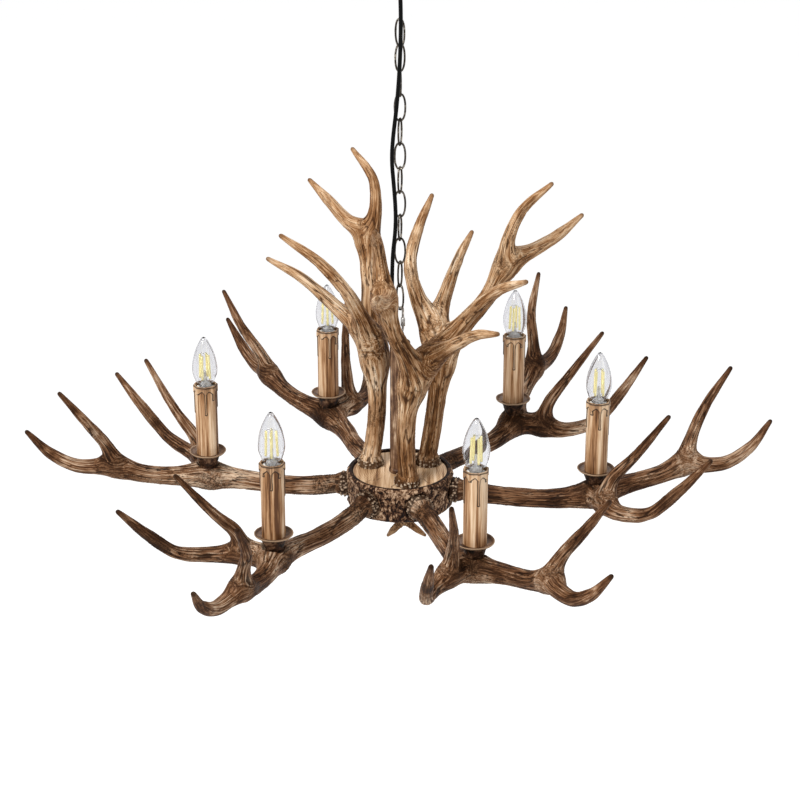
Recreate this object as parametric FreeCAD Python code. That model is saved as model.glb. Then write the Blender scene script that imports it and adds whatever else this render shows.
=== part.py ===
import FreeCAD, Part
import math
import os

# Antler chandelier with six candle arms, hung from a ceiling canopy on a chain.
# Millimetres, +Z up, origin in the ceiling plane on the axis that everything hangs on.
# Angles are in degrees, turned from +X towards +Y.

Vector = FreeCAD.Vector
UP = Vector(0, 0, 1)
OUT = Vector(1, 0, 0)

# --- driving sizes -------------------------------------------------------------------
# play between parts
SEAT_PLAY = 0.05       # flat or turned faces that are clamped together
LINK_PLAY = 0.3        # round wires that hang in each other
THREAD_PLAY = 0.06     # a nut or screw on its thread, radial

# ceiling fittings
CANOPY_RADIUS = 62.0
CANOPY_HEIGHT = 34.0
CANOPY_WALL = 1.6
BRACKET_LENGTH = 96.0
BRACKET_WIDTH = 20.0
BRACKET_THICKNESS = 2.5
CEILING_HOLE_SPACING = 60.0
CEILING_HOLE_RADIUS = 2.5
LUG_DROP = 14.0
CANOPY_SCREW_Z = -9.0
CANOPY_SCREW_RADIUS = 2.0
CANOPY_SCREW_HEAD = 4.5
CANOPY_SCREW_HEAD_LENGTH = 5.0
COLLAR_RADIUS = 13.0
COLLAR_HEIGHT = 9.0
COLLAR_SINK = 3.0      # how far the loop's ring is sunk in the collar
LOOP_INNER_RADIUS = 9.0
LOOP_WIRE = 4.0
LOOP_STEM_RADIUS = 5.0
CORD_HOLE_RADIUS = 8.0
CORD_HOLE_OUT = 27.0   # from the axis, towards the front

# chain, from the lowest link to the highest, each turned about the chain
LINK_PITCH = 32.4
LINK_WIRE = 2.2
LINK_WIDTH = 16.0
LINK_END_RADIUS = 3.9
LINK_TURNS = [130, 72, 172, 88, 178, 92, 183, 95, 185, 100, 210, 145, 88]

# screw link between the chain and the column's eye
QUICK_LINK_INNER = 33.0
QUICK_LINK_WIRE = 3.2
QUICK_LINK_WIDTH = 13.5
QUICK_LINK_TURN = 40.0
QUICK_NUT_RADIUS = 3.1
QUICK_NUT_LENGTH = 12.0
QUICK_NUT_TRAVEL = 8.0

# column on the hub, with its eye
COLUMN_RADIUS = 13.8
COLUMN_BORE = 12.0
COLUMN_LENGTH = 191.0
EYE_BAR_DEPTH = 13.0   # from the column's mouth to the bar that carries the eye
EYE_BAR_HEIGHT = 6.0
EYE_BAR_WIDTH = 7.0
EYE_INNER_RADIUS = 5.5
EYE_WIRE = 3.4
EYE_STEM_RADIUS = 2.0
EYE_STEM_FREE = 1.5    # bare stem between the ring and the column's mouth
EYE_SHOULDER_RADIUS = 3.2
EYE_SHOULDER_HEIGHT = 2.0
EYE_NUT_RADIUS = 3.8
EYE_NUT_HEIGHT = 3.5
EYE_TURN = 130.0
FLANGE_HEIGHT = 6.0    # closed foot of the column

# hub drum
HUB_RADIUS = 73.0
HUB_HEIGHT = 50.0
HUB_WALL = 7.0
HUB_EDGE = 3.0
HUB_WAIST_DEPTH = 1.5  # how far the wall draws in between its edges
HUB_WAIST_HEIGHT = 12.0
DISC_RECESS = 3.0
DISC_THICKNESS = 9.0
SPIGOT_RADIUS = 8.0    # the column's foot through the top disc
SPIGOT_BORE = 6.0
ARM_BOLT_DEPTH = 27.0  # arm axis below the hub's rim
BOLT_RADIUS = 3.0
BOLT_HEAD_RADIUS = 6.0
BOLT_HEAD_HEIGHT = 4.0
BOLT_GRIP = 26.0       # how far a bolt reaches into an antler
BOLT_SEAT_SINK = 1.5   # a bolt's head stands this far off the drum's inner wall
TERMINAL_BLOCK = (44.0, 16.0, 11.0)
TERMINAL_BLOCK_BACK = 18.0   # its front face behind the axis
TERMINAL_PITCH = 14.0
TERMINAL_BORE = 2.4
ARM_SEAT_DEPTH = 2.5   # flat pocket in the drum's wall for an arm's burr
ARM_SEAT_PLAY = 1.0    # radial, round the burr

# candles
CANDLE_RADIUS = 270.0
CUP_SEAT_DEPTH = 12.0  # underside of the cup below the hub's rim
CUP_HEIGHT = 21.0
CUP_FOOT_RADIUS = 10.5
CUP_TOP_RADIUS = 15.5
CUP_FOOT_FLARE = 1.5
CUP_FOOT_HEIGHT = 3.0
CUP_RIM_HEIGHT = 4.0
PAN_RADIUS = 25.4
PAN_FLOOR_RADIUS = 17.0
PAN_DEPTH = 4.5
PAN_WALL = 1.6
SLEEVE_RADIUS = 15.3
SLEEVE_WALL = 1.6
SLEEVE_LENGTH = 103.0
DRIP_BAND = 9.0        # wax round the sleeve's mouth
DRIP_THICKNESS = 1.0
DRIP_RADIUS = 2.2
DRIP_RUNS = [(10, 38), (95, 24), (190, 33), (275, 27)]   # azimuth and length of each run of wax
NIPPLE_RADIUS = 5.0
NIPPLE_BORE = 3.5
NIPPLE_GRIP = 12.0     # into the antler
HOLDER_RADIUS = 12.5
HOLDER_BORE = 7.3
HOLDER_HEIGHT = 36.0
HOLDER_FLOOR = 6.0
HOLDER_FOOT = 10.0     # its grip on the nipple
HOLDER_FOOT_RADIUS = 8.5
HOLDER_FOOT_SINK = 4.0   # how far the foot runs up inside the body's outline
HOLDER_PLAY = 0.4      # between the holder's mouth and the bulb's flange

# candle bulb: radius and height above the sleeve's top
CAP_RADIUS = 6.9
CAP_LENGTH = 25.0
CAP_FLANGE = 9.6
CAP_FLANGE_HEIGHT = 2.5
BULB_FOOT = 1.5        # glass starts this far below the sleeve's top
BULB_OUTLINE = [(9.6, -1.5), (13.6, 6.0), (17.5, 21.0), (17.0, 31.0), (13.2, 46.0), (6.8, 61.0), (1.6, 68.5)]
GLASS_WALL = 0.9
GLASS_TIP = 0.6        # rounded tip above the outline's last corner
CAP_CONTACT_RADIUS = 3.2
CAP_TAPER = 4.0        # cone between the cap's thread and its contact
STEM_RADIUS = 2.6
STEM_HEIGHT = 24.0
FILAMENT_COUNT = 4
FILAMENT_RADIUS = 0.8
FILAMENT_HEAD = 3.4    # the rods' distance from the axis at their tops
FILAMENT_SPREAD = 6.2  # and at their knees
FILAMENT_KNEE = 6.0    # knees below the stem's top
FILAMENT_LEAD = 10.0   # height of the lead wires below the knees
FILAMENT_TOP = 45.0

# antler arm, one casting used six times: reach from the hub's face, sideways, height above the bolt, radius
BURR = [(0.0, 16.5), (5.0, 19.0), (11.0, 17.5), (18.0, 13.6)]   # distance from the seat, radius
UPRIGHT_SINK = 3.0     # an upright's burr is cut off flat this far above its root
ARM_MAIN = [
    (54, 1, -5, 13.2), (101, -2, -7, 13.0), (151, -6, -4, 13.8), (201, 0, 3, 16.5),
    (245, 24, 10, 13.5), (286, 39, 19, 12.0), (322, 50, 33, 13.0), (347, 51, 31, 10.0),
    (378, 56, 35, 8.8), (409, 64, 56, 6.6), (433, 75, 88, 2.4),
]
ARM_LONG_UP = [(318, 48, 31, 9.0), (327, 60, 66, 8.6), (346, 82, 108, 6.8), (377, 97, 156, 2.3)]
ARM_SHORT = [
    (198, 2, 2, 13.0), (212, -34, 7, 13.0), (237, -70, 3, 10.8), (278, -97, 15, 8.6),
    (316, -110, 53, 7.0), (355, -121, 99, 2.4),
]
ARM_SHORT_UP = [(214, -42, 6, 9.5), (227, -42, 42, 8.6), (259, -53, 82, 6.8), (299, -73, 141, 2.3)]
# each arm's azimuth, roll about its own axis, and droop
ARM_SEATS = [(173.4, 0.0, 0.0), (233.0, -2.0, 2.2), (290.6, 0.0, 0.0),
             (-9.0, -3.5, -1.7), (51.8, 6.5, -1.2), (113.3, -1.0, 0.0)]

# upright antler, one casting used three times: along its lean, sideways, height above the disc, radius
UPRIGHT_MAIN = [
    (3, -6, 58, 12.8), (7, -7, 110, 12.6), (13, -2, 158, 14.5), (36, -6, 203, 12.6),
    (67, -18, 252, 11.4), (92, -24, 302, 11.6), (129, -13, 315, 8.6), (166, -5, 331, 6.8),
    (202, 8, 352, 2.4),
]
UPRIGHT_LONG_UP = [(90, -24, 300, 9.4), (87, -33, 340, 8.6), (104, -35, 382, 6.8), (144, -25, 411, 2.3)]
UPRIGHT_SHORT = [
    (12, -3, 152, 12.4), (4, 12, 190, 12.6), (-14, 41, 236, 10.2), (-18, 68, 276, 8.8),
    (1, 100, 313, 6.8), (29, 140, 343, 2.4),
]
UPRIGHT_SHORT_UP = [(4, 12, 190, 10.0), (30, 53, 232, 9.2), (58, 91, 268, 6.8), (86, 128, 290, 2.3)]
UPRIGHT_FROM_WALL = 20.5   # from the hub wall's inside to an upright's axis
# each upright's azimuth on the hub, the azimuth of its long branch, and its lean along and across that
UPRIGHT_SEATS = [(153.6, 120.0, -3.0, 2.5), (282.0, 248.5, 1.6, -6.0), (32.2, 14.5, 1.3, 3.2)]

# forked antler tip under the hub: sideways, height below the hub, radius
FINIAL_STEM = [(2, 0, 15.0), (3, 14, 12.0), (5, 28, 8.5), (-1, 38, 5.6), (-9, 47, 4.3), (-16, 55, 1.6)]
FINIAL_FORK = [(5, 27, 7.5), (13, 37, 5.8), (23, 46, 4.6), (34, 55, 1.6)]

# supply cord from the canopy's hole to the column's port, points chosen along its way
CORD_DIAMETER = 5.4
CORD_ROUTE = [
    (0, -27, -29), (0, -27, -48), (1, -21, -78), (1, -16, -109), (0, -14, -143), (-2, -13, -177),
    (-5, -13, -211), (-9, -12, -243), (-11, -11, -275), (-8, -12.5, -309), (-5.5, -13.5, -343),
    (-6, -13, -371), (-9.5, -12, -401), (-10.5, -10.5, -432), (-10.5, -8, -462), (-11, -6, -487),
    (-10, -3.5, -507), (-7.4, -0.6, -523), (-7, 0, -536),
]

# --- places that follow from the sizes ------------------------------------------------
LINK_COUNT = len(LINK_TURNS)
CHAIN_TOP = -(CANOPY_HEIGHT + COLLAR_HEIGHT + LOOP_WIRE + 2 * LOOP_INNER_RADIUS - COLLAR_SINK)
QUICK_LINK_TOP = CHAIN_TOP - LINK_COUNT * LINK_PITCH
EYE_TOP = QUICK_LINK_TOP - QUICK_LINK_INNER
COLUMN_TOP = EYE_TOP - 2 * EYE_INNER_RADIUS - EYE_WIRE
DISC_TOP = COLUMN_TOP - COLUMN_LENGTH
HUB_TOP = DISC_TOP + DISC_RECESS
HUB_BOTTOM = HUB_TOP - HUB_HEIGHT
ARM_BOLT_Z = HUB_TOP - ARM_BOLT_DEPTH
UPRIGHT_CIRCLE = HUB_RADIUS - HUB_WALL - UPRIGHT_FROM_WALL


# --- shapes used more than once --------------------------------------------------------
def cylinder(radius, low, high, centre=Vector(0, 0, 0)):
    return Part.makeCylinder(radius, high - low, Vector(centre.x, centre.y, low))


def tube(outer, inner, low, high, centre=Vector(0, 0, 0)):
    return cylinder(outer, low, high, centre).cut(cylinder(inner, low - 1, high + 1, centre))


def turned(outline):
    """A solid of revolution about Z from (radius, height) corners."""
    corners = [Vector(r, 0, z) for r, z in outline]
    face = Part.Face(Part.makePolygon(corners + corners[:1]))
    return face.revolve(Vector(0, 0, 0), UP, 360)


def polar(radius, azimuth, height=0.0):
    a = math.radians(azimuth)
    return Vector(radius * math.cos(a), radius * math.sin(a), height)


def arc_tube(centre, start, axis, angle, wire):
    """Round wire bent about an axis through centre, from the point start."""
    along = axis.cross(start - centre)
    section = Part.Face(Part.Wire(Part.makeCircle(wire / 2, start, along)))
    return section.revolve(centre, axis, angle)


def fused(solids):
    return solids[0].multiFuse(solids[1:]).removeSplitter() if len(solids) > 1 else solids[0]


def ring_of_wire(inner_radius, wire, centre, turn):
    """A closed round eye that stands on edge, its plane turned about Z."""
    torus = Part.makeTorus(inner_radius + wire / 2, wire / 2)
    torus.rotate(Vector(0, 0, 0), OUT, 90)
    torus.rotate(Vector(0, 0, 0), UP, turn)
    torus.translate(centre)
    return torus


def limb(points):
    """A tapering antler limb: straight-sided bands through circles square to the limb's run."""
    spots = [Vector(*p[:3]) for p in points]
    hoops = []
    for i, p in enumerate(points):
        run = spots[min(i + 1, len(spots) - 1)] - spots[max(i - 1, 0)]
        hoops.append(Part.Wire(Part.makeCircle(p[3], spots[i], run)))
    return Part.makeLoft(hoops, True, True)


def antler(base, limbs):
    """Main limb with its burr at the base, and the side limbs grown into it."""
    main = limb(base + limbs[0])
    return fused([main] + [limb(points) for points in limbs[1:]])


# --- ceiling fittings -------------------------------------------------------------------
def ceiling_bracket():
    bar = Part.makeBox(BRACKET_LENGTH, BRACKET_WIDTH, BRACKET_THICKNESS,
                       Vector(-BRACKET_LENGTH / 2, -BRACKET_WIDTH / 2, -BRACKET_THICKNESS))
    for side in (-1, 1):
        hole = cylinder(CEILING_HOLE_RADIUS, -BRACKET_THICKNESS - 1, 1,
                        Vector(side * CEILING_HOLE_SPACING / 2, 0, 0))
        bar = bar.cut(hole)
        inner = side * BRACKET_LENGTH / 2
        lug = Part.makeBox(BRACKET_THICKNESS, BRACKET_WIDTH, LUG_DROP,
                           Vector(min(inner, inner - side * BRACKET_THICKNESS),
                                  -BRACKET_WIDTH / 2, -LUG_DROP))
        screw_way = Part.makeCylinder(CANOPY_SCREW_RADIUS + THREAD_PLAY, 4 * BRACKET_THICKNESS,
                                      Vector(inner - 2 * BRACKET_THICKNESS, 0, CANOPY_SCREW_Z), OUT)
        bar = bar.fuse(lug).cut(screw_way)
    thread = cylinder(LOOP_STEM_RADIUS + THREAD_PLAY, -BRACKET_THICKNESS - 1, 1)
    return bar.cut(thread).removeSplitter()


def canopy():
    shoulder = CANOPY_RADIUS * 0.78
    neck = COLLAR_RADIUS + 4
    hole = LOOP_STEM_RADIUS + THREAD_PLAY
    side_low, shoulder_low, floor = -CANOPY_HEIGHT * 0.42, -CANOPY_HEIGHT * 0.82, -CANOPY_HEIGHT
    outline = [(CANOPY_RADIUS, 0), (CANOPY_RADIUS, side_low), (shoulder, shoulder_low), (neck, floor),
               (hole, floor), (hole, floor + CANOPY_WALL), (neck, floor + CANOPY_WALL),
               (shoulder - CANOPY_WALL, shoulder_low + CANOPY_WALL),
               (CANOPY_RADIUS - CANOPY_WALL, side_low), (CANOPY_RADIUS - CANOPY_WALL, 0)]
    shell = turned(outline)
    for side in (-1, 1):
        way = Part.makeCylinder(CANOPY_SCREW_RADIUS + THREAD_PLAY, 20,
                                Vector(side * (CANOPY_RADIUS - 10), 0, CANOPY_SCREW_Z), OUT * side)
        shell = shell.cut(way)
    cord_way = cylinder(CORD_HOLE_RADIUS, -CANOPY_HEIGHT - 5, 0, Vector(0, -CORD_HOLE_OUT, 0))
    return shell.cut(cord_way)


def canopy_screws():
    """Two knurled side screws that hold the canopy to the bracket's lugs."""
    screws = []
    for side in (-1, 1):
        head = Part.makeCylinder(CANOPY_SCREW_HEAD, CANOPY_SCREW_HEAD_LENGTH,
                                 Vector(side * (CANOPY_RADIUS + SEAT_PLAY), 0, CANOPY_SCREW_Z), OUT * side)
        reach = CANOPY_RADIUS - BRACKET_LENGTH / 2 + BRACKET_THICKNESS + 2
        shank = Part.makeCylinder(CANOPY_SCREW_RADIUS, reach + 1,
                                  Vector(side * (CANOPY_RADIUS + 1), 0, CANOPY_SCREW_Z), OUT * -side)
        screws.append(head.fuse(shank).removeSplitter())
    return Part.makeCompound(screws)


def canopy_loop():
    """Collar and eye in one turned and bent piece, with a stem up into the bracket."""
    collar_top = -CANOPY_HEIGHT - SEAT_PLAY
    collar_low = collar_top - COLLAR_HEIGHT
    collar = turned([(0, collar_top), (COLLAR_RADIUS, collar_top),
                     (COLLAR_RADIUS, collar_top - COLLAR_HEIGHT / 2),
                     (LOOP_STEM_RADIUS + 1, collar_low), (0, collar_low)])
    stem = cylinder(LOOP_STEM_RADIUS, collar_top - 1, -0.5)
    eye = ring_of_wire(LOOP_INNER_RADIUS, LOOP_WIRE, Vector(0, 0, CHAIN_TOP + LOOP_INNER_RADIUS), 0)
    return fused([collar, stem, eye])


# --- chain ------------------------------------------------------------------------------
def chain_link(top, turn):
    """An oval link of four tangent arcs, its top wire hanging in whatever ends at top."""
    half_width = (LINK_WIDTH - LINK_WIRE) / 2
    half_length = (LINK_PITCH + LINK_PLAY + LINK_WIRE) / 2
    end_centre = half_length - LINK_END_RADIUS
    bulge = half_width - LINK_END_RADIUS
    side_radius = (half_width ** 2 + end_centre ** 2 - LINK_END_RADIUS ** 2) / (2 * bulge)
    side_centre = side_radius - half_width
    half_side = math.degrees(math.atan2(end_centre, side_centre))
    turn_axis = Vector(0, -1, 0)
    pieces = []
    for side in (-1, 1):
        centre = Vector(-side * side_centre, 0, 0)
        a = math.radians(half_side)
        low = centre + Vector(side * side_radius * math.cos(a), 0, -side_radius * math.sin(a))
        pieces.append(arc_tube(centre, low, turn_axis * side, 2 * half_side, LINK_WIRE))
    for end in (-1, 1):
        centre = Vector(0, 0, end * end_centre)
        a = math.radians(half_side)
        first = centre + Vector(end * LINK_END_RADIUS * math.cos(a), 0, end * LINK_END_RADIUS * math.sin(a))
        pieces.append(arc_tube(centre, first, turn_axis, 180 - 2 * half_side, LINK_WIRE))
    link = fused(pieces)
    link.rotate(Vector(0, 0, 0), UP, turn)
    link.translate(Vector(0, 0, top - LINK_PITCH / 2))
    return link


def chain_links():
    """All links but the highest, from the lowest one up."""
    tops = [QUICK_LINK_TOP + (i + 1) * LINK_PITCH for i in range(LINK_COUNT - 1)]
    return Part.makeCompound([chain_link(top, turn) for top, turn in zip(tops, LINK_TURNS)])


def quick_link():
    """A round bar bent to a long ring: two half circles and two straight sides."""
    half_width = (QUICK_LINK_WIDTH - QUICK_LINK_WIRE) / 2
    straight = (QUICK_LINK_INNER + LINK_PLAY + QUICK_LINK_WIRE) / 2 - half_width
    pieces = []
    for side in (-1, 1):
        pieces.append(cylinder(QUICK_LINK_WIRE / 2, -straight, straight, Vector(side * half_width, 0, 0)))
    for end in (-1, 1):
        centre = Vector(0, 0, end * straight)
        start = centre + Vector(end * half_width, 0, 0)
        pieces.append(arc_tube(centre, start, Vector(0, -1, 0), 180, QUICK_LINK_WIRE))
    link = fused(pieces)
    return hung_quick_link(link)


def quick_link_nut():
    half_width = (QUICK_LINK_WIDTH - QUICK_LINK_WIRE) / 2
    low = -QUICK_NUT_LENGTH / 2 - QUICK_NUT_TRAVEL / 2
    corners = [Vector(half_width, 0, low) + polar(QUICK_NUT_RADIUS, 60 * i) for i in range(6)]
    hexagon = Part.Face(Part.makePolygon(corners + corners[:1])).extrude(UP * QUICK_NUT_LENGTH)
    bore = cylinder(QUICK_LINK_WIRE / 2 + THREAD_PLAY, low - 1, low + QUICK_NUT_LENGTH + 1,
                    Vector(half_width, 0, 0))
    return hung_quick_link(hexagon.cut(bore))


def hung_quick_link(shape):
    shape.rotate(Vector(0, 0, 0), UP, QUICK_LINK_TURN)
    shape.translate(Vector(0, 0, QUICK_LINK_TOP - QUICK_LINK_INNER / 2))
    return shape


# --- column and hub ---------------------------------------------------------------------
def column():
    """Open tube with a bar across its mouth for the eye; the cord drops in beside the bar."""
    foot = DISC_TOP - DISC_THICKNESS
    body = tube(COLUMN_RADIUS, COLUMN_BORE, DISC_TOP + SEAT_PLAY, COLUMN_TOP)
    bar_low = COLUMN_TOP - EYE_BAR_DEPTH - EYE_BAR_HEIGHT
    bar = Part.makeBox(EYE_BAR_WIDTH, 2 * COLUMN_BORE + 1, EYE_BAR_HEIGHT,
                       Vector(-EYE_BAR_WIDTH / 2, -COLUMN_BORE - 0.5, bar_low))
    spigot = tube(SPIGOT_RADIUS, SPIGOT_BORE, foot, DISC_TOP + SEAT_PLAY + FLANGE_HEIGHT)
    flange = tube(COLUMN_RADIUS, SPIGOT_BORE, DISC_TOP + SEAT_PLAY, DISC_TOP + FLANGE_HEIGHT)
    whole = fused([body, bar, flange, spigot])
    return whole.cut(cylinder(EYE_STEM_RADIUS + THREAD_PLAY, COLUMN_TOP - 2 * EYE_BAR_DEPTH, COLUMN_TOP))


def column_eye():
    """Ring bolt: its stem goes down through the bar and ends in a nut."""
    ring = ring_of_wire(EYE_INNER_RADIUS, EYE_WIRE, Vector(0, 0, EYE_TOP - EYE_INNER_RADIUS), EYE_TURN)
    nut_top = COLUMN_TOP - EYE_BAR_DEPTH - EYE_BAR_HEIGHT - SEAT_PLAY
    stem = cylinder(EYE_STEM_RADIUS, nut_top - EYE_NUT_HEIGHT - EYE_STEM_FREE, COLUMN_TOP + EYE_STEM_FREE)
    shoulder_low = COLUMN_TOP - EYE_BAR_DEPTH + SEAT_PLAY
    shoulder = cylinder(EYE_SHOULDER_RADIUS, shoulder_low, shoulder_low + EYE_SHOULDER_HEIGHT)
    nut = cylinder(EYE_NUT_RADIUS, nut_top - EYE_NUT_HEIGHT, nut_top)
    return fused([ring, stem, shoulder, nut])


def drum_edge(low, high):
    """Outline of the hub's wall: a waist between two swelling edges, like a cut trunk."""
    inner = HUB_RADIUS - HUB_WALL
    waist = HUB_RADIUS - HUB_WAIST_DEPTH
    return [(inner, low), (HUB_RADIUS - HUB_EDGE, low), (HUB_RADIUS - HUB_EDGE / 5, low + HUB_EDGE),
            (waist, low + HUB_WAIST_HEIGHT), (waist, high - HUB_WAIST_HEIGHT), (HUB_RADIUS, high - HUB_EDGE),
            (HUB_RADIUS - HUB_EDGE / 2, high), (inner, high)]


def hub_ring():
    ring = turned(drum_edge(HUB_BOTTOM, HUB_TOP))
    burr_radius = max(radius for distance, radius in BURR)
    for azimuth, roll, droop in ARM_SEATS:
        way = Part.makeCylinder(BOLT_RADIUS + THREAD_PLAY, 2 * HUB_WALL,
                                polar(HUB_RADIUS - 1.6 * HUB_WALL, azimuth, ARM_BOLT_Z), polar(1, azimuth))
        seat = Part.makeCylinder(burr_radius + ARM_SEAT_PLAY, HUB_WALL,
                                 polar(HUB_RADIUS - ARM_SEAT_DEPTH, azimuth, ARM_BOLT_Z), polar(1, azimuth))
        ring = ring.cut(way).cut(seat)
    return ring


def hub_disc(top):
    return cylinder(HUB_RADIUS - HUB_WALL - SEAT_PLAY, top - DISC_THICKNESS, top)


def hub_top_disc():
    disc = hub_disc(DISC_TOP).cut(cylinder(SPIGOT_RADIUS + SEAT_PLAY, HUB_BOTTOM, HUB_TOP))
    for azimuth, turn, along, across in UPRIGHT_SEATS:
        way = cylinder(BOLT_RADIUS + THREAD_PLAY, HUB_BOTTOM, HUB_TOP, polar(UPRIGHT_CIRCLE, azimuth))
        disc = disc.cut(way)
    return disc


def hub_bottom_disc():
    low = HUB_BOTTOM + DISC_RECESS
    way = cylinder(BOLT_RADIUS + THREAD_PLAY, low - 1, low + DISC_THICKNESS + 1)
    return hub_disc(low + DISC_THICKNESS).cut(way)


def screw(tip, direction, grip):
    """A round-headed screw: head outside the seat at tip, shank along direction."""
    head = Part.makeCylinder(BOLT_HEAD_RADIUS, BOLT_HEAD_HEIGHT, tip, direction * -1)
    shank = Part.makeCylinder(BOLT_RADIUS, grip, tip, direction)
    return head.fuse(shank).removeSplitter()


def antler_screws():
    """Six screws out through the hub's wall, three up through the top disc, one down into the finial."""
    screws = []
    for azimuth, roll, droop in ARM_SEATS:
        inside = polar(HUB_RADIUS - HUB_WALL - BOLT_SEAT_SINK, azimuth, ARM_BOLT_Z)
        screws.append(screw(inside, polar(1, azimuth), BOLT_GRIP))
    for azimuth, turn, along, across in UPRIGHT_SEATS:
        below = polar(UPRIGHT_CIRCLE, azimuth, DISC_TOP - DISC_THICKNESS - SEAT_PLAY)
        screws.append(screw(below, UP, BOLT_GRIP))
    floor = HUB_BOTTOM + DISC_RECESS + DISC_THICKNESS + SEAT_PLAY
    screws.append(screw(Vector(0, 0, floor), UP * -1, BOLT_GRIP - 1))
    return Part.makeCompound(screws)


def terminal_block():
    floor = HUB_BOTTOM + DISC_RECESS + DISC_THICKNESS
    length, depth, height = TERMINAL_BLOCK
    block = Part.makeBox(length, depth, height, Vector(-length / 2, TERMINAL_BLOCK_BACK, floor + SEAT_PLAY))
    for i in (-1, 0, 1):
        start = Vector(i * TERMINAL_PITCH, TERMINAL_BLOCK_BACK - 1, floor + height / 2)
        block = block.cut(Part.makeCylinder(TERMINAL_BORE, depth + 2, start, Vector(0, 1, 0)))
    return block


def finial():
    """Forked antler tip that hides the hub's lower screw."""
    seat = HUB_BOTTOM + DISC_RECESS - SEAT_PLAY
    stem = limb([(x, 0, seat - drop, r) for x, drop, r in FINIAL_STEM])
    fork = limb([(x, 0, seat - drop, r) for x, drop, r in FINIAL_FORK])
    way = cylinder(BOLT_RADIUS + THREAD_PLAY, seat + DISC_THICKNESS - BOLT_GRIP, seat + 1)
    return fused([stem, fork]).cut(cylinder(40, seat, seat + 40)).cut(way)


# --- antlers ----------------------------------------------------------------------------
def burr_points(lead):
    return [lead(distance) + (radius,) for distance, radius in BURR]


def arm_antler(azimuth, roll, droop):
    start = burr_points(lambda distance: (distance, 0, 0))
    shape = antler(start, [ARM_MAIN, ARM_LONG_UP, ARM_SHORT, ARM_SHORT_UP])
    shape.rotate(Vector(0, 0, 0), OUT, roll)
    shape.rotate(Vector(0, 0, 0), Vector(0, 1, 0), droop)
    bolt_way = Part.makeCylinder(BOLT_RADIUS + THREAD_PLAY, BOLT_GRIP, Vector(0, 0, 0), OUT)
    hub_side = Part.makeBox(30, 60, 60, Vector(-30, -30, -30))
    shape = shape.cut(bolt_way).cut(hub_side)
    shape.translate(OUT * (HUB_RADIUS - ARM_SEAT_DEPTH + SEAT_PLAY))
    shape.rotate(Vector(0, 0, 0), UP, azimuth)
    shape.translate(Vector(0, 0, ARM_BOLT_Z))
    return shape


def candle_seat(azimuth, droop):
    """Underside of a candle's cup on its arm."""
    drop = CANDLE_RADIUS - HUB_RADIUS
    return polar(CANDLE_RADIUS, azimuth, HUB_TOP - CUP_SEAT_DEPTH - drop * math.sin(math.radians(droop)))


def seated_arm(azimuth, roll, droop):
    """The arm with a flat for the cup and a threaded hole for its nipple."""
    seat = candle_seat(azimuth, droop)
    flat = cylinder(CUP_TOP_RADIUS, seat.z - SEAT_PLAY, seat.z + 40, seat)
    hole = cylinder(NIPPLE_RADIUS + THREAD_PLAY, seat.z - NIPPLE_GRIP - 1, seat.z + 1, seat)
    return arm_antler(azimuth, roll, droop).cut(flat).cut(hole)


def upright_antler(azimuth, turn, along, across):
    start = burr_points(lambda distance: (0, 0, distance - UPRIGHT_SINK))
    shape = antler(start, [UPRIGHT_MAIN, UPRIGHT_LONG_UP, UPRIGHT_SHORT, UPRIGHT_SHORT_UP])
    shape.rotate(Vector(0, 0, 0), Vector(0, 1, 0), along)
    shape.rotate(Vector(0, 0, 0), OUT, across)
    shape.rotate(Vector(0, 0, 0), UP, turn)
    shape.translate(polar(UPRIGHT_CIRCLE, azimuth, DISC_TOP))
    foot = polar(UPRIGHT_CIRCLE, azimuth)
    shape = shape.cut(cylinder(40, DISC_TOP - 20, DISC_TOP + SEAT_PLAY, foot))
    return shape.cut(cylinder(BOLT_RADIUS + THREAD_PLAY, DISC_TOP - 1, DISC_TOP + BOLT_GRIP + 1, foot))


# --- candles ----------------------------------------------------------------------------
def at(shape, place):
    shape.translate(place)
    return shape


def candle_cup(seat):
    cup = turned([(NIPPLE_RADIUS + THREAD_PLAY, 0), (CUP_FOOT_RADIUS, 0),
                  (CUP_FOOT_RADIUS + CUP_FOOT_FLARE, CUP_FOOT_HEIGHT),
                  (CUP_TOP_RADIUS, CUP_HEIGHT - CUP_RIM_HEIGHT), (CUP_TOP_RADIUS, CUP_HEIGHT),
                  (NIPPLE_RADIUS + THREAD_PLAY, CUP_HEIGHT)])
    return at(cup, seat)


PAN_LOW = CUP_HEIGHT + SEAT_PLAY
SLEEVE_LOW = PAN_LOW + PAN_WALL + SEAT_PLAY
SLEEVE_HIGH = SLEEVE_LOW + SLEEVE_LENGTH
HOLDER_HIGH = SLEEVE_HIGH - BULB_FOOT - CAP_FLANGE_HEIGHT - HOLDER_PLAY
HOLDER_LOW = HOLDER_HIGH - HOLDER_HEIGHT


def drip_pan(seat):
    hole, floor, brim = NIPPLE_RADIUS + THREAD_PLAY, PAN_LOW + PAN_WALL, PAN_LOW + PAN_DEPTH
    pan = turned([(hole, PAN_LOW), (PAN_FLOOR_RADIUS, PAN_LOW),
                  (PAN_RADIUS - PAN_WALL, brim - PAN_WALL), (PAN_RADIUS, brim),
                  (PAN_RADIUS - PAN_WALL, brim + 0.6), (PAN_FLOOR_RADIUS - 0.5, floor), (hole, floor)])
    return at(pan, seat)


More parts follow.
